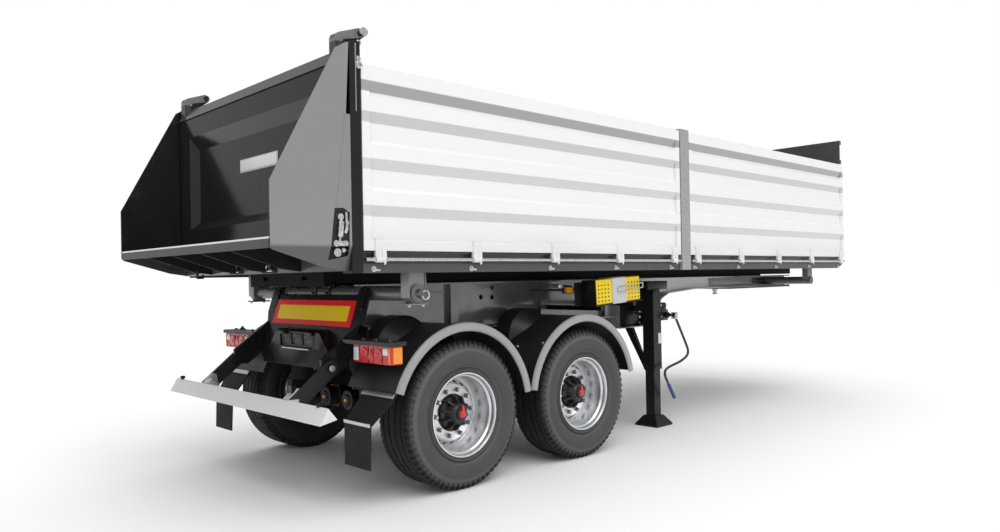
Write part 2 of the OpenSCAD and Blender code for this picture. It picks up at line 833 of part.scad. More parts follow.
module bed_brackets() {
    y0 = half_w - 165;
    y1 = half_w - 85;
    ball_half = ball_r + 6;
    color("silver") row() {
        both() difference() {
            slab_y(y0, y1) polygon([
                [tip_x - 65, cross_z0], [tip_x - 65, tip_z - 30], [tip_x - 35, tip_z - 68],
                [tip_x + 35, tip_z - 68], [tip_x + 65, tip_z - 30], [tip_x + 65, cross_z0]
            ]);
            bar_y(tip_x, tip_z, journal_r + run_fit, 0, half_w);
        }
        both() difference() {
            box([front_shaft_x - 60, half_w - 200, tip_z + 10], [front_shaft_x + 60, half_w - 130, cross_z0]);
            bar_y(front_shaft_x, tip_z - 3, front_shaft_r + 6, 0, half_w);
        }
        box([cyl_x - 60, -sub_y + sub_w / 2, ball_z + ball_half], [cyl_x + 60, sub_y - sub_w / 2, floor_low]);
        both() box([cyl_x - 40, ball_half, ball_z - 20], [cyl_x + 40, ball_half + 20, ball_z + ball_half]);
    }
}

module headboard() {
    inner = side_in - move_gap;
    x1 = head_x0 + head_t;
    z1 = floor_z + head_h;
    color("dimgray") row() {
        box([head_x0, -inner, floor_z], [head_x0 + 12, inner, side_top + move_gap]);
        box([head_x0, -half_w + 6, side_top + move_gap], [head_x0 + 12, half_w - 6, z1]);
        for (z = [floor_z, floor_z + 560, side_top - 50])
            box([head_x0 + 12, -inner, z], [x1, inner, z + 60]);
        box([head_x0 + 12, -half_w + 6, z1 - 50], [x1, half_w - 6, z1]);
        both() box([head_x0 + 12, inner - 70, floor_z], [x1, inner, z1]);
        both() box([head_x0 + 12, inner - 70, side_top + move_gap], [x1, half_w - 6, side_top + 60]);
    }
}

module rear_posts() {
    y0 = half_w - post_w;
    top = floor_z + post_h;
    color("dimgray") row() both() {
        box([post_x0, y0, rail_z0], [post_x1, half_w, top]);
        slab_y(gate_arm_in + arm_plate + 4, gate_arm_out - arm_plate - 4) polygon([
            [post_x0 + 5, top], [post_x1, top], [gate_pin_x + 26, gate_pin_z - 24],
            [gate_pin_x + 26, gate_pin_z + 18], [gate_pin_x - 26, gate_pin_z + 18]
        ]);
        bar_y(gate_pin_x, gate_pin_z, gate_pin_r, gate_arm_in - 8, half_w - 6);
    }
}

// Chute: its floor rises to the lip, and the cheeks lean inwards below a crease
chute_rise = 75;
lip_h = 66;
lip_z1 = floor_z + chute_rise;
lip_z0 = lip_z1 - lip_h;
cheek_t = 8;
crease_z = floor_z + 25;
skirt_lean = 45;
chute_z0 = rail_z0 + 14;

// Opening of the lock in a cheek, as (x, z)
lock_hole = [
    [post_x0 - 20, floor_z - 34], [post_x0 - 14, floor_z + 235], [post_x0 - 60, floor_z + 262],
    [post_x0 - 122, floor_z + 258], [post_x0 - 160, floor_z - 62]
];

module chute_cheeks() {
    out = half_w;
    lean = skirt_lean / (crease_z - chute_z0);
    upper = [
        [post_x0, crease_z], [post_x0, floor_z + 850], [post_x0 - 30, floor_z + 850],
        [post_x0 - 4, floor_z + 1300], [post_x0 - 20, floor_z + 1300], [post_x0 - 100, floor_z + 1250],
        [lip_x, floor_z + 400], [lip_x, crease_z]
    ];
    lower = [
        [post_x0, crease_z], [lip_x, crease_z], [lip_x, lip_z0 + 6], [lip_x + 20, lip_z0 - 10],
        [post_x0 - 183, floor_z - 106], [post_x0 - 33, chute_z0], [post_x0, chute_z0]
    ];
    color("gray") row() both() {
        difference() {
            union() {
                slab_y(out - cheek_t, out) polygon(upper);
                intersection() {
                    slab_y(out - 2 * skirt_lean, out) polygon(lower);
                    slab_x(lip_x, post_x0) polygon([
                        [out, crease_z], [out - cheek_t, crease_z], [out - cheek_t - skirt_lean, chute_z0],
                        [out - skirt_lean, chute_z0]
                    ]);
                }
            }
            slab_y(out - 2 * skirt_lean, out + 1) polygon(lock_hole);
        }
        box([post_x0 - 168, out - 2 * cheek_t, crease_z], [post_x0 - 8, out - cheek_t, floor_z + 270]);
    }
}

// Underside of the chute's floor sheet at a place
function chute_under(x) = floor_low + (post_x0 - x) * chute_rise / chute_len;

module chute_floor() {
    y1 = half_w - cheek_t - 12;
    foot_y = y1 - skirt_lean + 8;
    lip_t = 10;
    box_x0 = post_x0 - 40;
    knee = [post_x0 - 183, floor_z - 106];
    sink = 3;
    color("gray") row() {
        slab_y(-y1, y1) polygon([
            [post_x0, floor_low], [post_x0, floor_z], [lip_x, lip_z1], [lip_x, lip_z0],
            [lip_x + lip_t, lip_z0], [lip_x + lip_t, chute_under(lip_x + lip_t)]
        ]);
        slab_y(-foot_y, foot_y) polygon([
            [box_x0, chute_z0], [post_x0, chute_z0], [post_x0, floor_low + sink],
            [box_x0, chute_under(box_x0) + sink]
        ]);
        for (y = [-700, -240, 240, 700])
            slab_y(y - 5, y + 5) polygon([
                [lip_x + lip_t / 2, chute_under(lip_x) - sink], [lip_x + lip_t / 2, lip_z0 + sink], knee,
                [post_x0 - 20, chute_z0 + sink], [post_x0 - 20, chute_under(post_x0 - 20) + sink]
            ]);
    }
}

module mid_stakes() {
    color("dimgray") row() both() {
        box([stake_x0, side_in, rail_z0], [stake_x1, half_w, side_top + 20]);
        box([stake_x0, rail_web_y, rail_z0], [stake_x1, side_in, floor_low]);
    }
}

// Middle of each hinge strap of a drop side, measured from the side's rear edge
function strap_at(i) = strap_end + i * strap_pitch;

module hinge_rods() {
    ear = 14;
    color("silver") row() both() for (x0 = [side_r0, side_f0]) {
        bar_x(rod_y, rod_z, rod_r, x0 + 10, x0 + side_len - 10);
        for (i = [0 : strap_count - 1], s = [-1, 1])
            translate([x0 + strap_at(i) + s * (strap_w / 2 + ear), 0, 0]) {
                box([-ear / 2, rail_web_y, rod_z - 16], [ear / 2, rod_y, rod_z + 16]);
                bar_x(rod_y, rod_z, 16, -ear / 2, ear / 2);
            }
    }
}

// Tailgate

// Pocket pressed into the tailgate: its rim on the face and its floor, half-widths and heights
pocket_rim = [1040, gate_z0 + 224, gate_z1 - 240];
pocket_floor = [940, gate_z0 + 285, gate_z1 - 353];
pocket_d = 44;
band_h = 84;
band_t = 10;
band_lean = 42;

module tailgate() {
    w = gate_half;
    face = gate_x0 + band_t;
    bottom = face + pocket_d;
    rim = pocket_rim;
    flat = pocket_floor;
    hood_z = gate_z1 + 112;
    hood_z0 = gate_z1 - 50;
    color("dimgray") row() {
        difference() {
            slab_y(-w, w) polygon([
                [face, gate_z0], [gate_x1, gate_z0], [gate_x1, gate_z1], [gate_x0 + band_lean, gate_z1],
                [gate_x0, gate_z1 - band_h], [face, gate_z1 - band_h - 8]
            ]);
            intersection() {
                slab_y(-w, w) polygon([
                    [face - 1, rim[1]], [bottom, flat[1]], [bottom, flat[2]], [face - 1, rim[2]]
                ]);
                translate([0, 0, gate_z0]) linear_extrude(gate_z1 - gate_z0) polygon([
                    [face - 1, -rim[0]], [bottom, -flat[0]], [bottom, flat[0]], [face - 1, rim[0]]
                ]);
            }
        }
        both() for (y = [gate_arm_in, gate_arm_out - arm_plate]) difference() {
            slab_y(y, y + arm_plate) polygon([
                [face + 4, hood_z0], [face + 4, hood_z - 32], [face + 12, hood_z - 12], [face + 32, hood_z],
                [gate_pin_x - 10, gate_pin_z + 32], [gate_pin_x + 22, gate_pin_z + 24],
                [gate_pin_x + 34, gate_pin_z], [gate_pin_x + 22, gate_pin_z - 26],
                [gate_pin_x - 14, gate_pin_z - 34], [gate_x1 - 8, gate_z1 + 70], [gate_x1 - 8, hood_z0]
            ]);
            bar_y(gate_pin_x, gate_pin_z, gate_pin_r + run_fit, y - 1, y + arm_plate + 1);
        }
        both() box([face + 4, gate_arm_in + arm_plate - 1, hood_z0],
            [face + 14, gate_arm_out - arm_plate + 1, hood_z - 34]);
    }
}

// Drop sides

// Section of a drop side: flat inside, ribs outside
module side_section() {
    out = half_w - 5;
    low = out - rib_depth;
    rib_points = [for (i = [0 : rib_count - 1], k = [0 : 3]) [
        (k == 0 || k == 3) ? low : out,
        rib_first + i * rib_pitch + [0, rib_foot, rib_foot + rib_flat, rib_h][k]
    ]];
    polygon(concat(
        [[side_in, 0], [out, 0], [out, rail_low_h], [low, rail_low_h + 12]],
        rib_points,
        [[low, side_h - rail_top_h], [out, side_h - rail_top_h + rib_foot], [out, side_h], [side_in, side_h]]
    ));
}

module side_panel() {
    out = half_w - 5;
    difference() {
        union() {
            translate([0, 0, floor_z]) {
                slab_x(0, side_len) side_section();
                for (x = [0, side_len - stile_w]) box([x, side_in, 0], [x + stile_w, out, side_h]);
            }
            for (i = [0 : strap_count - 1]) translate([strap_at(i), 0, 0]) {
                box([-strap_w / 2, out - strap_t, rod_z], [strap_w / 2, out + strap_t, rod_z + strap_h]);
                bar_x(rod_y, rod_z, eye_r, -strap_w / 2, strap_w / 2);
            }
        }
        bar_x(rod_y, rod_z, rod_r + run_fit, -1, side_len + 1);
    }
}

module side_left(x0) {
    color("white") row() translate([x0, 0, 0]) side_panel();
}

module side_right(x0) {
    color("white") row() translate([x0, 0, 0]) mirror([0, 1, 0]) side_panel();
}

// Underrun guard with its folding arms

module guard() {
    pin = [guard_pin_x, guard_pin_z];
    nose = pin + [-375, -286];
    crest = pin + [-315, -183];
    toe = pin + [-251, -261];
    inset = 9;
    cap = 6;
    arm_y0 = tail_half + blade_t + 5;
    color("silver") row() {
        slab_y(-guard_w / 2, guard_w / 2) difference() {
            polygon([nose, crest, toe]);
            polygon([nose + [18, inset], crest + [2, -16], toe + [-20, 2]]);
        }
        both() slab_y(guard_w / 2 - cap, guard_w / 2) polygon([nose, crest, toe]);
        both() difference() {
            union() {
                slab_y(arm_y0, arm_y0 + 25)
                    polygon([pin + [-42, 38], pin + [38, -42], toe + [50, 30], toe, crest]);
                bar_y(guard_pin_x, guard_pin_z, 56, arm_y0, arm_y0 + 25);
            }
            bar_y(guard_pin_x, guard_pin_z, guard_pin_r + run_fit, 0, half_w);
        }
    }
}

// Wheels

module on_wheel(x, side) {
    turn = side > 0 ? 0 : 180;
    row() translate([x, side * wheel_y, tyre_r]) rotate([-90, 0, turn]) children();
}

// Half of a tyre section as radius and place across, from bead to crown
function tyre_half() = concat(
    [[bead_r, seat_half], [flange_r + 2, seat_half]],
    [for (a = [-48 : 24 : 48]) [405 + 96 * sin(a), tyre_w / 2 - 96 + 96 * cos(a)]],
    [[tyre_r - 26, 168], [tyre_r - 8, 158], [tyre_r, 138]]
);

module tyre_ring() {
    half = tyre_half();
    other = [for (i = [len(half) - 1 : -1 : 0]) [half[i][0], -half[i][1]]];
    rotate_extrude($fn = 64) polygon(concat(half, other));
}

module rim_and_hub() {
    difference() {
        rotate_extrude($fn = 64) polygon([
            [flange_r, rim_half], [flange_r, seat_half], [bead_r, seat_half], [bead_r, -seat_half],
            [flange_r, -seat_half], [flange_r, -rim_half], [276, -rim_half], [272, -20], [240, 0], [100, 0],
            [100, disc_t], [236, disc_t], [266, 34], [274, 60], [284, rim_half]
        ]);
        for (i = [0 : hand_holes - 1])
            rotate([0, 0, i * 360 / hand_holes]) translate([hand_hole_at, 0, -30])
                cylinder(r = hand_hole_r, h = 80);
    }
    rotate_extrude() polygon([
        [spindle_r + run_fit, -seat_half], [165, -seat_half], [165, -12], [hub_r - 12, 0], [hub_r - 12, 26],
        [hub_r - 44, 40], [72, 96], [58, 112], [46, 114], [44, 130], [0, 130], [0, 88],
        [spindle_r + run_fit, 88]
    ]);
    for (i = [0 : hand_holes - 1]) rotate([0, 0, (i + 0.5) * 360 / hand_holes])
        slab_y(-fin_t / 2, fin_t / 2)
            polygon([[64, 20], [hub_r, 6], [hub_r, 34], [hub_r - 10, 62], [86, 92], [64, 96]]);
}

module tyre_at(x, side) {
    color("black") on_wheel(x, side) tyre_ring();
}

module rim_at(x, side) {
    color("silver") on_wheel(x, side) rim_and_hub();
}

chassis_beams();
cross_tubes();
tipping_shafts();
rear_plate();
marker_board();
guard_brackets();
coupler_plate();
kingpin();
landing_legs();
landing_crank();
hangers();
trailing_arms();
axles();
air_bellows();
shock_absorbers();
fenders();
fender_lips();
fender_stays();
mud_flaps();
lamp_housings();
lamp_lenses();
chocks();
chock_holder();
side_markers();
air_tanks();
cylinder_cradle();
rest_pads();
cylinder_barrel();
cylinder_stage_1();
cylinder_stage_2();
cylinder_stage_3();
cylinder_stage_4();
bed_floor();
bed_rails();
bed_crossmembers();
bed_subframe();
bed_brackets();
headboard();
rear_posts();
chute_cheeks();
chute_floor();
mid_stakes();
hinge_rods();
tailgate();
side_right(side_r0);  // side_right_rear
side_right(side_f0);  // side_right_front
side_left(side_r0);  // side_left_rear
side_left(side_f0);  // side_left_front
guard();
tyre_at(axle_x[0], -1);  // tyre_right_rear
tyre_at(axle_x[1], -1);  // tyre_right_front
tyre_at(axle_x[0], 1);  // tyre_left_rear
tyre_at(axle_x[1], 1);  // tyre_left_front
rim_at(axle_x[0], -1);  // rim_right_rear
rim_at(axle_x[1], -1);  // rim_right_front
rim_at(axle_x[0], 1);  // rim_left_rear
rim_at(axle_x[1], 1);  // rim_left_front
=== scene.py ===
import json
import math

import bmesh
import bpy
from mathutils import Matrix, Vector


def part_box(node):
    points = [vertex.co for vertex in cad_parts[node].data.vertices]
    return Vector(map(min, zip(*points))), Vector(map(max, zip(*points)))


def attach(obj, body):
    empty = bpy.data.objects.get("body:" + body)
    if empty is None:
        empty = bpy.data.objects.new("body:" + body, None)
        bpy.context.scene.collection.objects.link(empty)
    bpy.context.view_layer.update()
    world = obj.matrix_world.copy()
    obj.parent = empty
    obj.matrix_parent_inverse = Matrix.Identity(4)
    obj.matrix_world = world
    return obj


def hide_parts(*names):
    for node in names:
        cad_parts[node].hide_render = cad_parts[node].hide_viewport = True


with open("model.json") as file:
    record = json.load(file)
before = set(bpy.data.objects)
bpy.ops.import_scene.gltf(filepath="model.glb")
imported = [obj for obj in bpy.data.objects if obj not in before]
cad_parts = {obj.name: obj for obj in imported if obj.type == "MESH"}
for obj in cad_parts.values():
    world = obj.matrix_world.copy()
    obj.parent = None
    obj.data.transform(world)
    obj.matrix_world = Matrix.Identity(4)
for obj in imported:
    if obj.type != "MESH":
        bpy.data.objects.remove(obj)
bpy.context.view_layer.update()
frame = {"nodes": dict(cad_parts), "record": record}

NODES = frame["nodes"]
CORNERS = ("right_rear", "right_front", "left_rear", "left_front")
SIDES = ((-1, "right"), (1, "left"))
AXLE_X = sum(p.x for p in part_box("tyre_right_rear")) / 2
HALF_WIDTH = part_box("chute_cheeks")[1].y

# Camera and studio
CAMERA_PLACE = Vector((-6.1362, -5.3855, 1.5037))
CAMERA_YAW = math.radians(46.05)
CAMERA_PITCH = math.radians(0.275)
CAMERA_ROLL = math.radians(-1.03)
CAMERA_LENS = 27.95
CAMERA_SHIFT = (-0.0015, 0.0077)
FLOOR_RADIUS = 60.0
AMBIENT_LIGHT = 0.55
KEY_LIGHT = 1.25
TOP_LIGHT = 0.85

# Wheels, in metres
TREAD_STEPS = 132
WALL_SPAN = (0.302, 0.5)
BEAD_RING = (0.338, 0.35)
WALL_RING = (0.452, 0.476)
CHAMBER_Y = 0.16
NUT_COUNT = 10
NUT_CIRCLE = 0.1675
NUT_PHASE = math.radians(-14)
HUB_RADIUS = 0.137
DISC_FACE = 0.012
RIM_STEPS = 120
SLOT_COUNT = 20
SLOT_STEPS = 3
SLOT_REACH = (0.212, 0.24)
FIN_COUNT = 10

# Bed, in metres: undersides of the ribs of the drop sides and the painted shade under each, heights of the
# gate, and the hinges
RIB_FEET = (1.911, 2.211, 2.511, 2.708)
RIB_PAINTED_SHADE = (0.47, 0.46, 0.58, 1.0)
RIB_SLOPE = 0.07
GATE_BAND_Z = 2.862
GATE_HOOD_Z = 3.0
CHEEK_FOLD_Z = 1.716
STRAP_FACE = 1.2585
STRAP_END = 0.12
STRAP_COUNT = 5
ROD_Z = 1.633

# Tail plate, in metres: the dip in its top edge, down its slope, and the dip's ends to either side
TAIL_TOP_Z = 1.405
TAIL_DIP = Vector((-0.0085, 0, -0.026))
DIP_START = 0.575
DIP_END = 0.59

# Neck, in metres from the rear axle: where a painted sheen is palest, and where it turns dark
NECK_SHEEN = (2.8, 4.5)
NECK_DARK = (5.2, 5.6)

# Landing gear, in metres from the rear axle: the crank's sleeve, the legs' place, and the crank's bends
SLEEVE = 0.185
LEG_X = 2.85
LEG_Y = 0.811
CRANK_PATH = ((3.034, 1.094), (3.145, 0.926), (3.235, 0.785), (3.268, 0.715), (3.238, 0.664), (3.12, 0.619),
              (2.94, 0.585), (2.866, 0.558), (2.848, 0.52), (2.868, 0.47), (3.006, 0.266))


def vec(x, y, z):
    return Vector((x, y, z))


def middle_of(node):
    low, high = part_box(node)
    return (low + high) / 2


def side_of(corner):
    """The sign of a corner's place across: the left is positive."""
    return 1.0 if corner.startswith("left") else -1.0


def spot(x, y, z):
    """A point given from the rear axle, the middle plane and the ground."""
    return Vector((AXLE_X + x, y, z))


# The chocks: where their middle is, how they lean, and where the solids have them
CHOCK_LEAN = (Matrix.Translation(spot(1.827, 0, 1.374)) @ Matrix.Rotation(math.radians(-3.1), 4, "Y")
              @ Matrix.Translation(-spot(1.941, 0, 1.3695)))

SOCKET_COLUMNS = 4
SOCKET_ROWS = 5

# The shaft that the bed tips on, and the toe of the guard's bar
TIP_AXIS = spot(-0.385, 0, 1.405)
GUARD_TOE = spot(-1.036, 0, 0.716)

# Materials


def add(mat, kind, inputs=None, **settings):
    """A node with its settings; an input is a number, a colour or another node's output."""
    made = mat.node_tree.nodes.new(kind)
    for key, value in settings.items():
        setattr(made, key, value)
    for key, value in (inputs or {}).items():
        if isinstance(value, bpy.types.NodeSocket):
            mat.node_tree.links.new(value, made.inputs[key])
        else:
            made.inputs[key].default_value = value
    return made


def finish(name, **sockets):
    """A material with one principled shader, its plain values on the shader's own sockets."""
    mat = bpy.data.materials.new(name)
    mat.use_nodes = True
    shader = mat.node_tree.nodes["Principled BSDF"]
    for key, value in sockets.items():
        shader.inputs[key.replace("_", " ")].default_value = value
    return mat


def plug(mat, key, socket):
    mat.node_tree.links.new(socket, mat.node_tree.nodes["Principled BSDF"].inputs[key])


def place(mat, centre=(0, 0, 0), scale=(1, 1, 1), turn=(0, 0, 0)):
    """Object coordinates about a centre, in metres, stretched by scale."""
    source = add(mat, "ShaderNodeTexCoord").outputs["Object"]
    moved = add(mat, "ShaderNodeVectorMath", {0: source, 1: centre}, operation="SUBTRACT").outputs[0]
    return add(mat, "ShaderNodeMapping", {"Vector": moved, "Scale": scale, "Rotation": turn}).outputs[0]


def noise(mat, scale, stretch=(1, 1, 1), detail=4.0):
    where = place(mat, scale=stretch)
    return add(mat, "ShaderNodeTexNoise", {"Vector": where, "Scale": scale, "Detail": detail}).outputs["Fac"]


def blend_colour(mat, factor, low, high):
    mix = add(mat, "ShaderNodeMix", {"Factor": factor}, data_type="RGBA")
    for socket, value in ((mix.inputs[6], low), (mix.inputs[7], high)):
        if isinstance(value, bpy.types.NodeSocket):
            mat.node_tree.links.new(value, socket)
        else:
            socket.default_value = (*value, 1.0)
    return mix.outputs[2]


def ramp(mat, value, low, high, start=0.0, end=1.0):
    inputs = {"Value": value, "From Min": start, "From Max": end, "To Min": low, "To Max": high}
    return add(mat, "ShaderNodeMapRange", inputs).outputs[0]


def maths(mat, operation, a, b=0.0):
    return add(mat, "ShaderNodeMath", {0: a, 1: b}, operation=operation).outputs[0]


def axis_of(mat, where, axis):
    return add(mat, "ShaderNodeSeparateXYZ", {0: where}).outputs[axis]


def band(mat, value, low, high, soft=0.001):
    """One inside a range of values and nothing outside it."""
    above = ramp(mat, value, 0.0, 1.0, low - soft, low + soft)
    below = ramp(mat, value, 1.0, 0.0, high - soft, high + soft)
    return maths(mat, "MULTIPLY", above, below)


def relief(mat, height, strength, distance=0.002, edge=0.0):
    """Bump on the shader, over edges that are softened by a small radius."""
    inputs = {"Height": height, "Strength": strength, "Distance": distance}
    if edge:
        inputs["Normal"] = add(mat, "ShaderNodeBevel", {"Radius": edge}, samples=3).outputs[0]
    plug(mat, "Normal", add(mat, "ShaderNodeBump", inputs).outputs[0])


def colour(mat, factor, low, high):
    plug(mat, "Base Color", blend_colour(mat, factor, low, high))


def roughness(mat, value, low, high):
    """Roughness between two values, over the middle of a noise's range."""
    plug(mat, "Roughness", ramp(mat, value, low, high, 0.3, 0.7))


def slow_tone(mat, patch=1.6):
    """Slow changes of tone over a large sheet."""
    return noise(mat, patch, detail=3.0)


def orange_peel(mat, edge=0.003):
    """Fine unevenness of sprayed paint."""
    relief(mat, noise(mat, 260.0, detail=1.0), 0.06, 0.0006, edge)


def paint(name, dark, light, rough, gloss=0.5, coat=0.0, metal=0.0, patch=1.6, edge=0.003):
    """Sprayed paint: slow changes of tone, a fine orange peel and soft edges."""
    mat = finish(name, Metallic=metal, Coat_Weight=coat, Coat_Roughness=0.06, Specular_IOR_Level=gloss)
    tone = slow_tone(mat, patch)
    colour(mat, tone, dark, light)
    roughness(mat, noise(mat, 14.0), rough - 0.05, rough + 0.06)
    orange_peel(mat, edge)
    return mat


def rubber(name, dark, light, rough=0.72):
    mat = finish(name, Specular_IOR_Level=0.35)
    tone = noise(mat, 9.0, detail=5.0)
    colour(mat, tone, dark, light)
    roughness(mat, tone, rough - 0.08, rough + 0.1)
    relief(mat, noise(mat, 500.0), 0.18, 0.0006)
    return mat


def brushed(name, dark, light, rough, stretch, metal=1.0, edge=0.002):
    """Metal with fine strokes along the axis that the stretch leaves long."""
    mat = finish(name, Metallic=metal)
    stroke = noise(mat, 60.0, stretch, detail=6.0)
    colour(mat, stroke, dark, light)
    roughness(mat, stroke, rough - 0.06, rough + 0.08)
    relief(mat, stroke, 0.05, 0.0005, edge)
    return mat


def zinc(name):
    """Galvanised steel with its spangle."""
    mat = finish(name, Metallic=1.0)
    spots = add(mat, "ShaderNodeTexVoronoi", {"Vector": place(mat), "Scale": 90.0}).outputs["Color"]
    grey = add(mat, "ShaderNodeRGBToBW", {0: spots}).outputs[0]
    colour(mat, grey, (0.52, 0.53, 0.54), (0.74, 0.75, 0.76))
    plug(mat, "Roughness", ramp(mat, grey, 0.28, 0.42))
    relief(mat, noise(mat, 320.0), 0.06, 0.0004, 0.002)
    return mat


def moulded(name, dark, light, rough=0.45, grain=420.0, edge=0.003):
    """Moulded plastic with a leathery grain."""
    mat = finish(name, Specular_IOR_Level=0.45)
    tone = noise(mat, 5.0, detail=4.0)
    colour(mat, tone, dark, light)
    roughness(mat, tone, rough - 0.06, rough + 0.08)
    cells = add(mat, "ShaderNodeTexVoronoi", {"Vector": place(mat), "Scale": grain}).outputs["Distance"]
    relief(mat, cells, 0.1, 0.0006, edge)
    return mat


def side_coat():
    """White coat on pressed sheet, with painted shade under each rib, and greyer towards its lower edge."""
    mat = finish("side_coat", Coat_Weight=0.35, Coat_Roughness=0.12, Specular_IOR_Level=0.45)
    where = place(mat)
    height = axis_of(mat, where, 2)
    low_edge = ramp(mat, height, 0.35, 0.0, 1.69, 1.95)
    outside = ramp(mat, maths(mat, "ABSOLUTE", axis_of(mat, where, 1)), 0.0, 1.0, 1.2255, 1.2262)
    shade = maths(mat, "MULTIPLY", noise(mat, 3.0, (0.4, 1, 2)), low_edge)
    # Painted shade on the downward slope under each rib, deepest under the top one.
    for foot, depth in zip(RIB_FEET, RIB_PAINTED_SHADE):
        slope = maths(mat, "MULTIPLY", band(mat, height, foot, foot + RIB_SLOPE, 0.004), outside)
        shade = maths(mat, "MAXIMUM", shade, maths(mat, "MULTIPLY", slope, depth))
    colour(mat, shade, (0.9, 0.905, 0.905), (0.36, 0.365, 0.37))
    roughness(mat, noise(mat, 7.0), 0.3, 0.4)
    relief(mat, noise(mat, 5.0, (0.3, 1, 1.5), 2.0), 0.08, 0.004, 0.003)
    return mat


def marker_film():
    """Yellow reflective film in a red border, on the board's own slope."""
    mat = finish("marker_film", Coat_Weight=0.1, Coat_Roughness=0.15, Roughness=0.4, Specular_IOR_Level=0.3)
    low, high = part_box("marker_board")
    where = place(mat, (low + high) / 2)
    across = maths(mat, "ABSOLUTE", axis_of(mat, where, 1))
    rise = maths(mat, "ABSOLUTE", axis_of(mat, where, 2))
    half_y = (high.y - low.y) / 2
    half_z = (high.z - low.z) / 2
    border = maths(mat, "MAXIMUM", ramp(mat, across, 0, 1, half_y - 0.062, half_y - 0.06),
                   ramp(mat, rise, 0, 1, half_z - 0.042, half_z - 0.04))
    yellow = blend_colour(mat, noise(mat, 4.0), (0.92, 0.6, 0.003), (0.98, 0.68, 0.006))
    red = blend_colour(mat, noise(mat, 6.0), (0.8, 0.012, 0.014), (0.9, 0.018, 0.018))
    colour(mat, border, yellow, red)
    cells = add(mat, "ShaderNodeTexVoronoi", {"Vector": place(mat), "Scale": 240.0},
                feature="DISTANCE_TO_EDGE").outputs[0]
    relief(mat, cells, 0.12, 0.0008)
    return mat


def lens(name, dark, light):
    """Coloured lens with upright ridges inside it."""
    mat = finish(name, Roughness=0.12, Coat_Weight=0.45, Coat_Roughness=0.03, Transmission_Weight=0.1)
    ridge = add(mat, "ShaderNodeTexWave", {"Vector": place(mat), "Scale": 48.0, "Distortion": 0.08},
                bands_direction="Y").outputs["Fac"]
    colour(mat, ridge, dark, light)
    relief(mat, ridge, 0.25, 0.002)
    return mat


def wheel_ways(mat, kind, corner):
    """Distance from a wheel's axle, and how far outwards from its middle."""
    where = place(mat, middle_of(kind + corner))
    flat = add(mat, "ShaderNodeVectorMath", {0: where, 1: (1, 0, 1)}, operation="MULTIPLY").outputs[0]
    radius = add(mat, "ShaderNodeVectorMath", {0: flat}, operation="LENGTH").outputs["Value"]
    return radius, maths(mat, "MULTIPLY", axis_of(mat, where, 1), side_of(corner))


def tyre_rubber(corner):
    """Dull tread and a lighter outer wall with fine rings, by the distance from the axle; two pale rings on
    the wall are painted highlights, and the inboard wall is darkened with painted shade.
    """
    mat = finish("tyre_rubber_" + corner, Specular_IOR_Level=0.4)
    radius, outwards = wheel_ways(mat, "tyre_", corner)
    wall = band(mat, radius, *WALL_SPAN, 0.01)
    tone = noise(mat, 12.0, detail=6.0)
    tread = blend_colour(mat, tone, (0.005, 0.005, 0.005), (0.013, 0.013, 0.0135))
    side = blend_colour(mat, tone, (0.05, 0.05, 0.051), (0.085, 0.085, 0.086))
    # Painted highlights: two pale rings on the wall.
    inner_ring = band(mat, radius, *BEAD_RING, 0.004)
    ring_highlight = maths(mat, "MAXIMUM", inner_ring, band(mat, radius, *WALL_RING, 0.006))
    side = blend_colour(mat, maths(mat, "MULTIPLY", ring_highlight, 0.5), side, (0.14, 0.14, 0.142))
    # Painted shade: the inboard wall takes the dark tread colour.
    wall = maths(mat, "MULTIPLY", wall, ramp(mat, outwards, 0.15, 1.0, -0.06, 0.0))
    colour(mat, wall, tread, side)
    roughness(mat, tone, 0.58, 0.78)
    rings = maths(mat, "SINE", maths(mat, "MULTIPLY", radius, 1250.0))
    height = maths(mat, "ADD", maths(mat, "MULTIPLY", rings, 0.35), noise(mat, 420.0))
    relief(mat, height, 0.12, 0.0008)
    return mat


def wheel_metal(corner):
    """Bright rim and disc with turned marks; the hub and the inboard side are black."""
    mat = finish("wheel_metal_" + corner)
    radius, outwards = wheel_ways(mat, "rim_", corner)
    hub = ramp(mat, radius, 1.0, 0.0, HUB_RADIUS - 0.001, HUB_RADIUS + 0.001)
    hub = maths(mat, "MAXIMUM", hub, ramp(mat, outwards, 1.0, 0.0, -0.08, -0.06))
    turned = noise(mat, 26.0, (1, 1, 1), 2.0)
    silver = blend_colour(mat, turned, (0.72, 0.73, 0.74), (0.79, 0.8, 0.81))
    colour(mat, hub, silver, (0.018, 0.018, 0.019))
    plug(mat, "Metallic", ramp(mat, hub, 1.0, 0.0))
    roughness(mat, turned, 0.33, 0.38)
    rings = maths(mat, "SINE", maths(mat, "MULTIPLY", radius, 2600.0))
    relief(mat, rings, 0.012, 0.0002)
    return mat


def guard_finish():
    """Bright bar on black folding arms, which start above the bar or in front of its toe."""
    mat = finish("guard_finish")
    where = place(mat, GUARD_TOE)
    ahead = ramp(mat, axis_of(mat, where, 0), 0.0, 1.0, 0.0, 0.002)
    above = ramp(mat, axis_of(mat, where, 2), 0.0, 1.0, 0.0, 0.002)
    arm = maths(mat, "MAXIMUM", ahead, above)
    stroke = noise(mat, 60.0, (1, 0.04, 1), 6.0)
    bright = blend_colour(mat, stroke, (0.7, 0.71, 0.72), (0.8, 0.81, 0.82))
    black = blend_colour(mat, noise(mat, 2.0), (0.01, 0.0104, 0.011), (0.016, 0.0164, 0.0172))
    colour(mat, arm, bright, black)
    plug(mat, "Metallic", ramp(mat, arm, 0.25, 0.0))
    roughness(mat, stroke, 0.34, 0.5)
    relief(mat, stroke, 0.05, 0.0005, 0.002)
    return mat


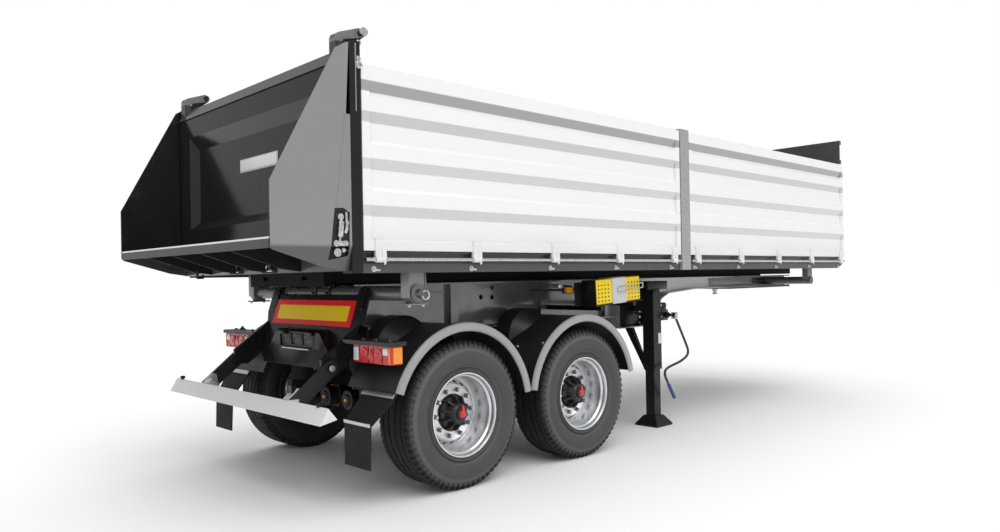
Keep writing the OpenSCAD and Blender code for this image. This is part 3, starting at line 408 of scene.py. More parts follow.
def marker_finish():
    """Orange lens on a black arm."""
    mat = finish("marker_finish", Roughness=0.12, Coat_Weight=0.8, Coat_Roughness=0.04)
    across = maths(mat, "ABSOLUTE", axis_of(mat, place(mat), 1))
    lens_part = ramp(mat, across, 0.0, 1.0, 0.981, 0.983)
    glass = blend_colour(mat, noise(mat, 40.0), (0.8, 0.22, 0.004), (0.95, 0.36, 0.01))
    black = blend_colour(mat, noise(mat, 8.0), (0.012, 0.012, 0.012), (0.02, 0.02, 0.021))
    colour(mat, lens_part, black, glass)
    return mat


def cheek_finish():
    """Grey outside of the chute's cheeks, nearly black on the side that faces the load, with painted shade
    on the leaning skirt below the fold.
    """
    mat = finish("cheek_finish", Coat_Weight=0.2, Coat_Roughness=0.06, Specular_IOR_Level=0.42)
    where = place(mat)
    across = maths(mat, "ABSOLUTE", axis_of(mat, where, 1))
    inside = ramp(mat, across, 1.0, 0.0, HALF_WIDTH - 0.005, HALF_WIDTH - 0.003)
    raised = ramp(mat, axis_of(mat, where, 2), 0.0, 1.0, CHEEK_FOLD_Z, CHEEK_FOLD_Z + 0.002)
    dark_side = maths(mat, "MULTIPLY", inside, raised)
    tone = slow_tone(mat)
    grey = blend_colour(mat, tone, (0.27, 0.272, 0.276), (0.33, 0.332, 0.337))
    # Painted shade on the leaning skirt below the fold.
    shaded_skirt = ramp(mat, axis_of(mat, where, 2), 0.3, 1.0, CHEEK_FOLD_Z - 0.011, CHEEK_FOLD_Z + 0.009)
    grey = blend_colour(mat, shaded_skirt, (0.02, 0.02, 0.021), grey)
    black = blend_colour(mat, tone, (0.008, 0.0082, 0.0088), (0.013, 0.0132, 0.014))
    colour(mat, dark_side, grey, black)
    plug(mat, "Metallic", ramp(mat, dark_side, 0.25, 0.0))
    roughness(mat, noise(mat, 14.0), 0.2, 0.3)
    orange_peel(mat)
    return mat


def chute_finish():
    """Black chute with a grey front beam and a grey lip, and a painted highlight along the lip's upper edge.
    """
    mat = finish("chute_finish", Specular_IOR_Level=0.2)
    low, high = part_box("chute_floor")
    where = place(mat, (low.x, 0, high.z))
    rear = ramp(mat, axis_of(mat, where, 0), 1.0, 0.0, 0.001, 0.002)
    # Painted highlight along the upper edge of the lip.
    edge = ramp(mat, axis_of(mat, where, 2), 0.0, 1.0, -0.013, -0.01)
    painted_edge_highlight = maths(mat, "MULTIPLY", edge, ramp(mat, axis_of(mat, where, 0), 1.0, 0.0, 0.03, 0.06))
    tone = slow_tone(mat)
    beam = ramp(mat, axis_of(mat, where, 0), 0.0, 1.0, high.x - low.x - 0.045, high.x - low.x - 0.042)
    black = blend_colour(mat, tone, (0.008, 0.0082, 0.0088), (0.013, 0.0132, 0.014))
    grey = blend_colour(mat, tone, (0.07, 0.071, 0.073), (0.1, 0.101, 0.104))
    black = blend_colour(mat, beam, black, grey)
    bright = blend_colour(mat, noise(mat, 40.0, (1, 0.1, 1)), (0.7, 0.7, 0.71), (0.86, 0.86, 0.87))
    colour(mat, painted_edge_highlight, blend_colour(mat, rear, black, grey), bright)
    roughness(mat, noise(mat, 14.0), 0.42, 0.52)
    orange_peel(mat, 0.0)
    return mat


def gate_finish():
    """Dark tailgate with painted light on its leaning top band, and brighter painted light on its hinge
    hoods.
    """
    mat = finish("gate_finish", Specular_IOR_Level=0.42)
    # Painted light: paler on the top band, and paler still on the hinge hoods.
    raised = ramp(mat, axis_of(mat, place(mat), 2), 0.0, 1.0, GATE_BAND_Z, GATE_BAND_Z + 0.002)
    tone = slow_tone(mat)
    dark = blend_colour(mat, tone, (0.008, 0.0083, 0.009), (0.013, 0.0134, 0.0142))
    light = blend_colour(mat, tone, (0.042, 0.043, 0.045), (0.06, 0.061, 0.063))
    hood = ramp(mat, axis_of(mat, place(mat), 2), 0.0, 1.0, GATE_HOOD_Z, GATE_HOOD_Z + 0.002)
    light = blend_colour(mat, hood, light, (0.19, 0.192, 0.196))
    colour(mat, raised, dark, light)
    roughness(mat, noise(mat, 14.0), 0.1, 0.17)
    orange_peel(mat)
    return mat


def beam_finish():
    """Glossy grey chassis beams, their grey partly painted light, with a painted sheen palest behind the
    neck's plate, and dark at the front end.
    """
    mat = finish("beam_gloss", Metallic=0.4, Coat_Weight=0.4, Coat_Roughness=0.06)
    length = axis_of(mat, place(mat, spot(0, 0, 0)), 0)
    tone = noise(mat, 2.4, detail=3.0)
    # The beams' grey is partly their paint and partly painted light.
    grey = blend_colour(mat, tone, (0.12, 0.122, 0.126), (0.27, 0.272, 0.277))
    # Painted sheen along the neck.
    grey = blend_colour(mat, band(mat, length, *NECK_SHEEN, 0.25), grey, (0.5, 0.502, 0.507))
    front = ramp(mat, length, 0.0, 1.0, *NECK_DARK)
    colour(mat, front, grey, (0.03, 0.0305, 0.032))
    roughness(mat, noise(mat, 14.0), 0.12, 0.23)
    orange_peel(mat)
    return mat


def crank_finish():
    """Black crank with a blue sleeve on its lower end."""
    mat = finish("crank_finish", Coat_Weight=0.2)
    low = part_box("landing_crank")[0].z
    sleeve = ramp(mat, axis_of(mat, place(mat), 2), 1.0, 0.0, low + SLEEVE, low + SLEEVE + 0.002)
    black = blend_colour(mat, noise(mat, 8.0), (0.018, 0.018, 0.019), (0.03, 0.03, 0.032))
    blue = blend_colour(mat, noise(mat, 8.0), (0.02, 0.06, 0.22), (0.03, 0.09, 0.3))
    colour(mat, sleeve, black, blue)
    plug(mat, "Roughness", ramp(mat, noise(mat, 20.0), 0.35, 0.5))
    relief(mat, noise(mat, 300.0), 0.08, 0.0006)
    return mat


CHASSIS = paint("chassis_gloss", (0.01, 0.0104, 0.011), (0.016, 0.0164, 0.0172), 0.24, 0.26)
BED = paint("bed_gloss", (0.006, 0.0062, 0.0066), (0.01, 0.0102, 0.0108), 0.2, 0.42)
RAIL = paint("rail_grey", (0.065, 0.066, 0.068), (0.09, 0.091, 0.094), 0.22, 0.45, 0.2)
# Grey of the tipping shaft: partly its paint and partly painted light, paler than the chassis paint.
SHAFT_PAINTED_LIGHT = paint("shaft_grey", (0.11, 0.112, 0.115), (0.17, 0.172, 0.175), 0.26, 0.5, 0.0, 0.3)
STAKE = paint("stake_grey", (0.36, 0.363, 0.368), (0.43, 0.433, 0.438), 0.26, 0.5, 0.3, 0.25)
HEAD = paint("headboard_grey", (0.05, 0.051, 0.053), (0.08, 0.081, 0.083), 0.24, 0.42)
SHADE = paint("subframe_black", (0.004, 0.004, 0.0044), (0.007, 0.007, 0.0074), 0.6, 0.1)
NUT = paint("nut_steel", (0.1, 0.101, 0.103), (0.16, 0.161, 0.164), 0.34, 0.5, 0.0, 0.8)
CHUTE = paint("chute_grey", (0.3, 0.303, 0.308), (0.36, 0.363, 0.368), 0.26, 0.5, 0.3, 0.25)
UNDER = paint("underbody_black", (0.005, 0.005, 0.0055), (0.009, 0.009, 0.0095), 0.5, 0.35)
SIDE = side_coat()
ZINC = zinc("zinc_plate")
CAST = paint("cast_grey", (0.2, 0.203, 0.207), (0.27, 0.273, 0.278), 0.36, 0.5, 0.0, 0.4)
CHROME = brushed("chromed_tube", (0.7, 0.71, 0.73), (0.8, 0.81, 0.82), 0.12, (1, 1, 0.05))
GUARD = brushed("guard_aluminium", (0.6, 0.61, 0.62), (0.72, 0.73, 0.74), 0.46, (1, 0.04, 1), 0.55)
RUBBER = rubber("flap_rubber", (0.005, 0.005, 0.005), (0.012, 0.012, 0.012))
PLASTIC = moulded("fender_plastic", (0.012, 0.012, 0.012), (0.02, 0.02, 0.021), 0.36)
LIP = paint("fender_lip_grey", (0.28, 0.282, 0.286), (0.34, 0.342, 0.346), 0.2, 0.5, 0.6)
RED = lens("red_lens", (0.5, 0.004, 0.008), (0.82, 0.014, 0.022))
ORANGE = lens("orange_lens", (0.8, 0.22, 0.004), (0.95, 0.36, 0.01))
WHITE = lens("white_lens", (0.75, 0.76, 0.78), (0.92, 0.92, 0.94))
YELLOW = moulded("chock_yellow", (0.8, 0.56, 0.006), (0.9, 0.66, 0.012), 0.4)
BLANK = moulded("blank_plate", (0.7, 0.702, 0.71), (0.78, 0.782, 0.79), 0.35)
GREY = moulded("strap_grey", (0.5, 0.51, 0.52), (0.6, 0.61, 0.62), 0.5)

FINISHES = {
    "chassis_paint": CHASSIS, "bed_paint": BED, "side_panel": SIDE, "bright_steel": ZINC,
    "chrome_tube": CHROME, "aluminium": GUARD, "rubber": RUBBER, "black_plastic": PLASTIC,
    "grey_plastic": LIP, "red_lens": RED, "orange_lens": ORANGE, "yellow_plastic": YELLOW,
    "board": marker_film(),
}
OWN_FINISH = {
    "chassis_beams": beam_finish(), "tailgate": gate_finish(), "chute_cheeks": cheek_finish(),
    "chute_floor": chute_finish(), "guard": guard_finish(), "side_markers": marker_finish(),
    "landing_crank": crank_finish(), "axles": UNDER, "trailing_arms": UNDER, "hangers": UNDER,
    "shock_absorbers": UNDER, "cylinder_cradle": UNDER, "bed_crossmembers": UNDER, "bed_subframe": SHADE,
    "air_tanks": UNDER, "cross_tubes": UNDER, "bed_brackets": CAST, "bed_rails": RAIL,
    "tipping_shafts": SHAFT_PAINTED_LIGHT, "mid_stakes": STAKE, "headboard": HEAD,
}


def dress_nodes():
    for part in frame["record"]["subparts"]:
        name = part["node"]
        if name.startswith("rim_"):
            mat = wheel_metal(name[4:])
        elif name.startswith("tyre_"):
            mat = tyre_rubber(name[5:])
        else:
            mat = OWN_FINISH.get(name, FINISHES[part["material_slot"]])
        mesh = NODES[name].data
        mesh.materials.clear()
        mesh.materials.append(mat)


# Mesh helpers


def piece(name, bm, body, mats, sharp=35.0, replaces=()):
    """A finished mesh as an object that rides a body; normals point outwards and flat faces stay crisp."""
    bmesh.ops.remove_doubles(bm, verts=bm.verts, dist=1e-6)
    bmesh.ops.recalc_face_normals(bm, faces=bm.faces)
    mesh = bpy.data.meshes.new(name)
    bm.to_mesh(mesh)
    bm.free()
    for mat in mats if isinstance(mats, (list, tuple)) else [mats]:
        mesh.materials.append(mat)
    mesh.shade_smooth()
    mesh.set_sharp_from_angle(angle=math.radians(sharp))
    obj = bpy.data.objects.new(name, mesh)
    bpy.context.scene.collection.objects.link(obj)
    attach(obj, body)
    if replaces:
        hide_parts(*replaces)
    return obj


def paint_faces(made, index):
    """Gives the faces that an operator made one of the piece's materials."""
    for vert in made["verts"]:
        for face in vert.link_faces:
            face.material_index = index


def move(bm, matrix):
    bmesh.ops.transform(bm, matrix=matrix, verts=bm.verts)


def edges_of(verts):
    """The edges at some points, each once and always in the same order."""
    return list(dict.fromkeys(edge for vert in verts for edge in vert.link_edges))


def round_edges(bm, verts, bevel):
    if bevel:
        bmesh.ops.bevel(bm, geom=edges_of(verts), offset=bevel, segments=2, profile=0.5, affect="EDGES",
                        material=-1)


def thicken(bm, verts, way):
    """Draws the outline out to a solid, and gives the points of both its sides."""
    made = bmesh.ops.extrude_face_region(bm, geom=[bm.faces.new(verts)])["geom"]
    far = [v for v in made if isinstance(v, bmesh.types.BMVert)]
    bmesh.ops.translate(bm, vec=way, verts=far)
    return verts + far


def block(bm, corner, other, bevel=0.0, turn=0.0, index=0):
    """Box between two corners with rounded edges, turned about the line across its middle."""
    corner, other = Vector(corner), Vector(other)
    size = [abs(d) for d in other - corner]
    middle = Matrix.Translation((corner + other) / 2)
    where = middle @ Matrix.Rotation(turn, 4, "Y") @ Matrix.Diagonal((*size, 1))
    made = bmesh.ops.create_cube(bm, size=1.0, matrix=where)
    paint_faces(made, index)
    round_edges(bm, made["verts"], bevel)


def plate(bm, outline, y0, y1, bevel=0.0, index=0):
    """Flat outline given as (x, z) from the rear axle, between two places across the trailer."""
    verts = [bm.verts.new(spot(x, y0, z)) for x, z in outline]
    verts = thicken(bm, verts, (0, y1 - y0, 0))
    paint_faces({"verts": verts}, index)
    round_edges(bm, verts, bevel)


def ring(bm, centre, axis, radius, thick, steps=24, index=0):
    """Round ring about an axis."""
    turn = Vector(axis).to_track_quat("Z", "Y").to_matrix().to_4x4()
    edge = Matrix.Translation((radius, 0, 0)) @ Matrix.Rotation(math.pi / 2, 4, "X")
    where = Matrix.Translation(centre) @ turn @ edge
    made = bmesh.ops.create_circle(bm, segments=10, radius=thick, matrix=where)
    before = set(bm.verts)
    bmesh.ops.spin(bm, geom=made["verts"] + edges_of(made["verts"]), cent=centre, axis=Vector(axis),
                   angle=2 * math.pi, steps=steps, use_merge=True)
    paint_faces({"verts": made["verts"] + [v for v in bm.verts if v not in before]}, index)


def along(start, end):
    """Matrix that carries the Z axis from the origin onto the line between two points."""
    start, end = Vector(start), Vector(end)
    turn = (end - start).to_track_quat("Z", "Y").to_matrix().to_4x4()
    return Matrix.Translation((start + end) / 2) @ turn


def bar(bm, start, end, radius, sides=16, radius_end=None, index=0):
    """Round bar between two points."""
    tip = radius if radius_end is None else radius_end
    made = bmesh.ops.create_cone(bm, cap_ends=True, segments=sides, radius1=radius, radius2=tip,
                                 depth=(Vector(end) - Vector(start)).length, matrix=along(start, end))
    paint_faces(made, index)


def stub(bm, seat, way, *more, **settings):
    """Round bar that stands on a seat."""
    bar(bm, seat, seat + way, *more, **settings)


def swept(bm, points, radius, sides=10):
    """Round rod along points of one upright plane along the trailer."""
    across = vec(0, 1, 0)
    last = []
    for before, here, after in zip(points[:1] + points, points, points[1:] + points[-1:]):
        up = across.cross(after - before).normalized()
        turn = Matrix((-up, across, across.cross(up))).transposed().to_4x4()
        made = bmesh.ops.create_circle(bm, cap_ends=here in (points[0], points[-1]), segments=sides,
                                       radius=radius, matrix=Matrix.Translation(here) @ turn)
        edges = edges_of(made["verts"])
        if last:
            bmesh.ops.bridge_loops(bm, edges=last + edges)
        last = edges


def smooth(points, steps=6):
    """Points of a curve that passes through the given ones."""
    curve = []
    for a, b, c, d in zip(points[:1] + points, points, points[1:], points[2:] + points[-1:]):
        for t in (i / steps for i in range(steps)):
            bend = 2 * a - 5 * b + 4 * c - d + t * (3 * b - a - 3 * c + d)
            curve.append(b + 0.5 * t * (c - a + t * bend))
    return curve + points[-1:]


def copied(node):
    """The node's own mesh with its flat faces whole, to be reshaped."""
    bm = bmesh.new()
    bm.from_mesh(NODES[node].data)
    bmesh.ops.remove_doubles(bm, verts=bm.verts, dist=1e-5)
    bmesh.ops.dissolve_limit(bm, angle_limit=math.radians(0.5), verts=bm.verts, edges=bm.edges)
    return bm


# Wheels


def wheel_place(corner):
    """Place of a wheel's middle; +Y of the wheel's own frame points outwards."""
    low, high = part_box("tyre_" + corner)
    turn = Matrix.Rotation(math.pi, 4, "Z") if corner.startswith("right") else Matrix.Identity(4)
    return Matrix.Translation((low + high) / 2) @ turn, (high.z - low.z) / 2, (high.y - low.y) / 2


def tyre_section(radius, half):
    """Half section from the bead to the middle of the tread, as (radius, place across)."""
    wall = [(0.290, 0.148), (0.302, 0.153), (0.312, 0.163), (0.318, 0.164), (0.324, 0.168)]
    belly = [(0.412 + 0.088 * math.sin(math.radians(a)), half - 0.075 + 0.075 * math.cos(math.radians(a)))
             for a in range(-60, 61, 15)]
    ridge = [(radius - 0.056, half - 0.022), (radius - 0.05, half - 0.022), (radius - 0.048, half - 0.025)]
    shoulder = [(radius - 0.02, half - 0.032), (radius - 0.006, half - 0.042),
                (radius - 0.001, half - 0.056)]
    tread = []
    for groove in (0.098, 0.034):
        tread += [(radius, groove + 0.007), (radius - 0.014, groove + 0.005),
                  (radius - 0.014, groove - 0.005), (radius, groove - 0.007)]
    return wall + belly + ridge + shoulder + tread


def wheel_spot(face, steps):
    """Where a face sits on a wheel: the step around it, the distance from axle and middle plane."""
    centre = face.calc_center_median()
    step = math.floor((math.atan2(centre.x, centre.z) / (2 * math.pi) + 0.5) * steps)
    return step, math.hypot(centre.x, centre.z), abs(centre.y)


def tyre(corner):
    where, radius, half = wheel_place(corner)
    outer = tyre_section(radius, half)
    section = outer + [(r, -y) for r, y in reversed(outer)]
    bm = bmesh.new()
    turned_section(bm, section, TREAD_STEPS)
    notches = []
    for face in bm.faces:
        step, reach, across = wheel_spot(face, TREAD_STEPS)
        if step % 2 == 0 and radius - 0.045 < reach < radius - 0.002 and half - 0.06 < across:
            notches.append(face)
    bmesh.ops.inset_region(bm, faces=notches, thickness=0.005, depth=-0.011)
    move(bm, where)
    piece("tyre_tread_" + corner, bm, "wheel_" + corner, tyre_rubber(corner), 28.0,
          ["tyre_" + corner])


def turned_section(bm, section, steps):
    """Closed section of (radius, place across) points, turned about the wheel's axis."""
    verts = [bm.verts.new((0, y, r)) for r, y in section]
    edges = [bm.edges.new((a, b)) for a, b in zip(verts, verts[1:] + verts[:1])]
    bmesh.ops.spin(bm, geom=verts + edges, cent=(0, 0, 0), axis=(0, 1, 0), angle=2 * math.pi,
                   steps=steps, use_merge=True)
    bmesh.ops.recalc_face_normals(bm, faces=bm.faces)


def rim_section():
    """Outer flange and bead seat, barrel with its ledge, and the disc that slopes back from its face."""
    seat = [(0.3, 0.162), (0.3, 0.148), (0.286, 0.148), (0.286, -0.148), (0.3, -0.148), (0.3, -0.162)]
    back = [(0.276, -0.162), (0.264, -0.118), (0.264, -0.066), (0.236, -0.04), (0.218, -0.0226),
            (0.194, 0.0)]
    disc = [(0.1, 0.0), (0.1, DISC_FACE), (0.196, DISC_FACE), (0.206, 0.007), (0.215, -0.004),
            (0.232, -0.024), (0.252, -0.046), (0.262, -0.05)]
    barrel = [(0.265, -0.045), (0.266, 0.11), (0.268, 0.119), (0.274, 0.126), (0.281, 0.131), (0.284, 0.144),
              (0.287, 0.156), (0.291, 0.162)]
    return seat + back + disc + barrel


def cut_slots(bm):
    """Hand slots through the slope of the disc, front and back joined by their walls."""
    share = RIM_STEPS // SLOT_COUNT
    slots = {}
    for face in bm.faces:
        step, reach, _ = wheel_spot(face, RIM_STEPS)
        if SLOT_REACH[0] < reach < SLOT_REACH[1] and step % share < SLOT_STEPS:
            slots.setdefault(step // share, []).append(face)
    rims = []
    for faces in slots.values():
        inside = set(faces)
        edges = dict.fromkeys(edge for face in faces for edge in face.edges)
        rims.append([edge for edge in edges if sum(f in inside for f in edge.link_faces) == 1])
    bmesh.ops.delete(bm, geom=[face for faces in slots.values() for face in faces], context="FACES")
    for edges in rims:
        bmesh.ops.bridge_loops(bm, edges=edges)


def rim(corner):
    """Polished rim with its slotted disc, and the black hub with its fins."""
    where, _, _ = wheel_place(corner)
    bm = bmesh.new()
    turned_section(bm, rim_section(), RIM_STEPS)
    cut_slots(bm)
    hub = [(0.0, 0.13), (0.044, 0.13), (0.046, 0.114), (0.058, 0.112), (0.072, 0.096), (0.088, 0.04),
           (0.12, 0.026), (0.12, 0.0), (0.165, -0.012), (0.165, -0.148), (0.0, -0.148)]
    turned_section(bm, hub, RIM_STEPS // 2)
    outline = [(0.064, 0.02), (0.132, 0.006), (0.132, 0.034), (0.122, 0.062), (0.086, 0.092), (0.064, 0.096)]
    for i in range(FIN_COUNT):
        fin(bm, outline, NUT_PHASE + math.pi * (2 * i + 1) / FIN_COUNT)
    move(bm, where)
    piece("wheel_rim_" + corner, bm, "wheel_" + corner, wheel_metal(corner), 30.0,
          ["rim_" + corner])


def fin(bm, outline, angle, half=0.0045):
    """Flat fin of the hub, given as (radius, place across), at an angle about the axle."""
    verts = [bm.verts.new((-half, y, r)) for r, y in outline]
    verts = thicken(bm, verts, (2 * half, 0, 0))
    bmesh.ops.rotate(bm, cent=(0, 0, 0), matrix=Matrix.Rotation(angle, 3, "Y"), verts=verts)


def wheel_trim(corner):
    """Nuts on their studs and the hub's cap."""
    where, _, _ = wheel_place(corner)
    out = vec(0, 1, 0)
    bm = bmesh.new()
    for i in range(NUT_COUNT):
        turn = Matrix.Rotation(NUT_PHASE + 2 * math.pi * i / NUT_COUNT, 4, "Y")
        seat = turn @ vec(0, DISC_FACE, NUT_CIRCLE)
        stub(bm, seat, out * 0.004, 0.02, index=1)
        stub(bm, seat, out * 0.024, 0.0165, 6)
        stub(bm, seat, out * 0.042, 0.0095, 10, index=1)
    move(bm, where)
    piece("wheel_nuts_" + corner, bm, "wheel_" + corner, [NUT, ZINC])
    bm = bmesh.new()
    bar(bm, (0, 0.128, 0), (0, 0.14, 0), 0.03, 24, 0.024)
    bar(bm, (0, 0.14, 0), (0, 0.146, 0), 0.014, 16, 0.01)
    block(bm, (-0.011, 0.128, 0.0), (0.011, 0.139, 0.062), 0.003)
    move(bm, where)
    piece("hub_cap_" + corner, bm, "wheel_" + corner, RED)


# Tail


def rear_lamp(side, word):
    """Chambers of a rear lamp: reversing lamp, two round lamps beside a reflector, and the corner lamp."""
    low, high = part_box("lamp_lenses")
    face, outer, middle = low.x, high.y, (low.z + high.z) / 2
    bm = bmesh.new()
    for inner, width, z0, z1, index in ((0.432, 0.06, low.z + 0.012, high.z - 0.016, 1),
                                        (0.09, 0.056, middle + 0.002, high.z - 0.01, 1),
                                        (0.026, 0.012, low.z + 0.006, high.z - 0.006, 2)):
        y = side * (outer - inner)
        block(bm, (face - 0.005, y, z0), (face + 0.004, y + side * width, z1), 0.002, index=index)
    for inner in (0.312, 0.142):
        y = side * (outer - inner)
        bar(bm, (face + 0.004, y, middle), (face - 0.007, y, middle), 0.05, 28, 0.045)
        bar(bm, (face, y, middle), (face - 0.011, y, middle), 0.022, 20, 0.014)
    y = side * (outer - 0.227)
    bar(bm, (face + 0.004, y, middle - 0.008), (face - 0.006, y, middle - 0.008), 0.05, 3, 0.046)
    for inner in (0.366, 0.258, 0.196, 0.096):
        y = side * (outer - inner)
        block(bm, (face - 0.003, y - 0.002, low.z + 0.003), (face + 0.003, y + 0.002, high.z - 0.003),
              index=3)
    block(bm, (face + 0.018, side * (outer - 0.004), low.z + 0.006),
          (high.x - 0.004, side * (outer + 0.003), high.z - 0.006), 0.002, index=2)
    piece("lamp_chambers_" + word, bm, "chassis", [RED, WHITE, ORANGE, PLASTIC])


def lamp_fittings(side, word):
    """Bolts and a cable gland on the hood over a lamp, and the bracket from the beam to the hood."""
    low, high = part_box("lamp_housings")
    bm = bmesh.new()
    for inner in (0.09, 0.25, 0.4):
        seat = vec(low.x + 0.075, side * (high.y - inner), high.z - 0.001)
        stub(bm, seat, vec(0, 0, 0.003), 0.018, 20)
        stub(bm, seat, vec(0, 0, 0.013), 0.012, 6)
    gland = vec(low.x + 0.095, side * (high.y - 0.17), high.z - 0.001)
    stub(bm, gland, vec(0, 0, 0.016), 0.021, 8, index=1)
    stub(bm, gland, vec(0, 0, 0.03), 0.014, 16, 0.011, index=1)
    block(bm, spot(-0.465, side * 0.5, 1.07), spot(-0.457, side * 0.69, 1.165), 0.002, index=1)
    piece("lamp_fittings_" + word, bm, "chassis", [NUT, PLASTIC])


def plate_holder():
    """Dark clips in the holder's recess, and the bright bar under it."""
    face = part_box("rear_plate")[0].x
    recess_z0, recess_z1 = 1.001, 1.114
    bm = bmesh.new()
    for y in (-0.168, 0.0, 0.168):
        block(bm, (face + 0.005, y - 0.074, recess_z0 + 0.012), (face + 0.016, y + 0.074, recess_z1 - 0.012),
              0.004)
        for dy in (-0.05, 0.05):
            bar(bm, (face + 0.006, y + dy, 1.06), (face + 0.001, y + dy, 1.06), 0.009, 12)
    for y in (-0.21, 0.21):
        block(bm, (face - 0.02, y - 0.035, recess_z1 + 0.002), (face + 0.004, y + 0.035, recess_z1 - 0.02),
              0.004)
    piece("plate_clips", bm, "chassis", PLASTIC)
    bm = bmesh.new()
    bar(bm, (face - 0.014, -0.2, recess_z0 - 0.012), (face - 0.014, 0.2, recess_z0 - 0.012), 0.007)
    for y in (-0.17, 0.17):
        bar(bm, (face - 0.014, y, recess_z0 - 0.012), (face + 0.002, y, recess_z0 - 0.012), 0.006, 10)
    piece("plate_bar", bm, "chassis", ZINC)


def guard_fittings(side, word):
    """Pivot bolt on the bracket; gusset and buffer on the folding guard."""
    pin = spot(-0.785, 0, 0.897)
    out = vec(0, side, 0)
    bm = bmesh.new()
    bar(bm, pin + out * 0.722, pin + out * 0.727, 0.023, 28)
    bar(bm, pin + out * 0.727, pin + out * 0.741, 0.015, 6)
    piece("guard_pivot_" + word, bm, "chassis", ZINC)
    bm = bmesh.new()
    plate(bm, [(-1.094, 0.716), (-1.03, 0.786), (-0.985, 0.776), (-0.975, 0.712), (-1.03, 0.645)],
          side * 0.676, side * 0.684, 0.002)
    plate(bm, [(-1.094, 0.716), (-1.055, 0.75), (-0.99, 0.7), (-1.03, 0.645)],
          side * 0.6, side * 0.677, 0.002)
    buffer = spot(-1.099, side * 1.07, 0.708)
    stub(bm, buffer, vec(0, 0, 0.012), 0.012, 12, index=1)
    bar(bm, buffer + vec(0, 0, 0.012), buffer + vec(0, 0, 0.03), 0.02, 16, 0.017, index=1)
    piece("guard_fittings_" + word, bm, "guard", [GUARD, RUBBER])


def flap_strips(side, word):
    """Clamping strips at the top and the bend of a mud flap, and the hem at its foot."""
    low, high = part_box("mud_flaps")
    outer = high.y
    slope = math.atan2(0.167, 0.204)
    bm = bmesh.new()
    top = spot(-0.627, 0, 0.735)
    block(bm, top + vec(-0.008, side * (outer - 0.37), -0.018),
          top + vec(0.0, side * (outer - 0.006), 0.018), 0.002, slope)
    bend = spot(-0.779, 0, 0.556)
    block(bm, bend + vec(-0.007, side * (outer - 0.37), -0.012),
          bend + vec(0.0, side * (outer - 0.066), 0.012), 0.002)
    foot = vec(low.x, 0, low.z)
    block(bm, foot + vec(0.001, side * (outer - 0.36), 0.0),
          foot + vec(0.013, side * (outer - 0.068), 0.022), 0.003, index=1)
    piece("flap_strips_" + word, bm, "chassis", [ZINC, LIP])


def fender_bolts(side, word):
    """Bolt heads on the rear slope of a front fender."""
    axle = middle_of("tyre_%s_front" % word)
    bm = bmesh.new()
    for x, y, z in ((0.814, 0.93, 0.942), (0.846, 1.185, 0.977)):
        seat = spot(x, side * y, z)
        out = vec(seat.x - axle.x, 0, seat.z - axle.z).normalized()
        bar(bm, seat - out * 0.004, seat + out * 0.012, 0.015, 14, 0.009)
    piece("fender_bolts_" + word, bm, "chassis", ZINC)


def tail_plate():
    """Tail plate whose top edge dips between its ears, so that the tipping shaft shows above it."""
    bm = copied("rear_plate")
    for y in (-DIP_END, -DIP_START, DIP_START, DIP_END):
        bmesh.ops.bisect_plane(bm, geom=bm.verts[:] + bm.edges[:] + bm.faces[:], plane_co=(0, y, 0),
                               plane_no=(0, 1, 0))
    for vert in bm.verts:
        if vert.co.z > TAIL_TOP_Z and abs(vert.co.y) < DIP_START + 0.005:
            vert.co += TAIL_DIP
    piece("tail_plate", bm, "chassis", CHASSIS, replaces=["rear_plate"])


def shaft_collars():
    """Collars and grease nipples on the rear tipping shaft."""
    bm = bmesh.new()
    for y in (-0.14, 0.06, 0.58, -0.58):
        bar(bm, TIP_AXIS + vec(0, y - 0.007, 0), TIP_AXIS + vec(0, y + 0.007, 0), 0.06, 32)
    for y in (-0.1, 0.1):
        bar(bm, TIP_AXIS + vec(-0.05, y, 0), TIP_AXIS + vec(-0.066, y, 0.004), 0.008, 8)
    piece("shaft_collars", bm, "chassis", CHASSIS)


def chamber_bands():
    """Clamp bands and caps on the brake chambers behind each axle."""
    bm = bmesh.new()
    for axle in ("rear", "front"):
        middle = middle_of("tyre_right_" + axle)
        for y in (-CHAMBER_Y, CHAMBER_Y):
            back = vec(middle.x - 0.31, y, middle.z + 0.035)
            ring(bm, back + vec(0.092, 0, 0), (1, 0, 0), 0.0865, 0.006, 32, index=1)
            bar(bm, back + vec(0.002, 0, 0), back - vec(0.012, 0, 0), 0.05, 28, 0.038, index=1)
            bar(bm, back - vec(0.01, 0, 0), back - vec(0.022, 0, 0), 0.016, 16, 0.012, index=2)
            for i in range(6):
                angle = math.pi * i / 3
                seat = back + vec(0.084, 0.093 * math.cos(angle), 0.093 * math.sin(angle))
                stub(bm, seat, vec(0.017, 0, 0), 0.008, 6)
    piece("chamber_bands", bm, "chassis", [NUT, UNDER, ORANGE])


# Bed


def hinge_hooks(corner):
    """Hook and bolts on each hinge strap of a drop side."""
    low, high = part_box("side_" + corner)
    side = side_of(corner)
    bm = bmesh.new()
    for x in strap_places(low.x, high.x):
        hook = [(0.01, 0.092), (0.038, 0.086), (0.044, 0.03), (0.038, -0.03), (0.026, -0.036),
                (0.02, -0.004), (0.008, 0.04)]
        plate(bm, [(x - AXLE_X + dx, ROD_Z + dz) for dx, dz in hook], side * STRAP_FACE,
              side * (STRAP_FACE + 0.01), 0.003)
        for dx, dz in ((-0.02, 0.1), (-0.02, 0.06), (0.026, 0.066)):
            seat = vec(x + dx, side * (STRAP_FACE + 0.0005), ROD_Z + dz)
            stub(bm, seat, vec(0, side * 0.006, 0), 0.008, 12, 0.006)
    piece("hinge_hooks_" + corner, bm, "drop_" + corner, SIDE)


def strap_places(start, end):
    """Middles of a drop side's hinge straps, evenly spaced between the end ones."""
    step = (end - start - 2 * STRAP_END) / (STRAP_COUNT - 1)
    return [start + STRAP_END + i * step for i in range(STRAP_COUNT)]


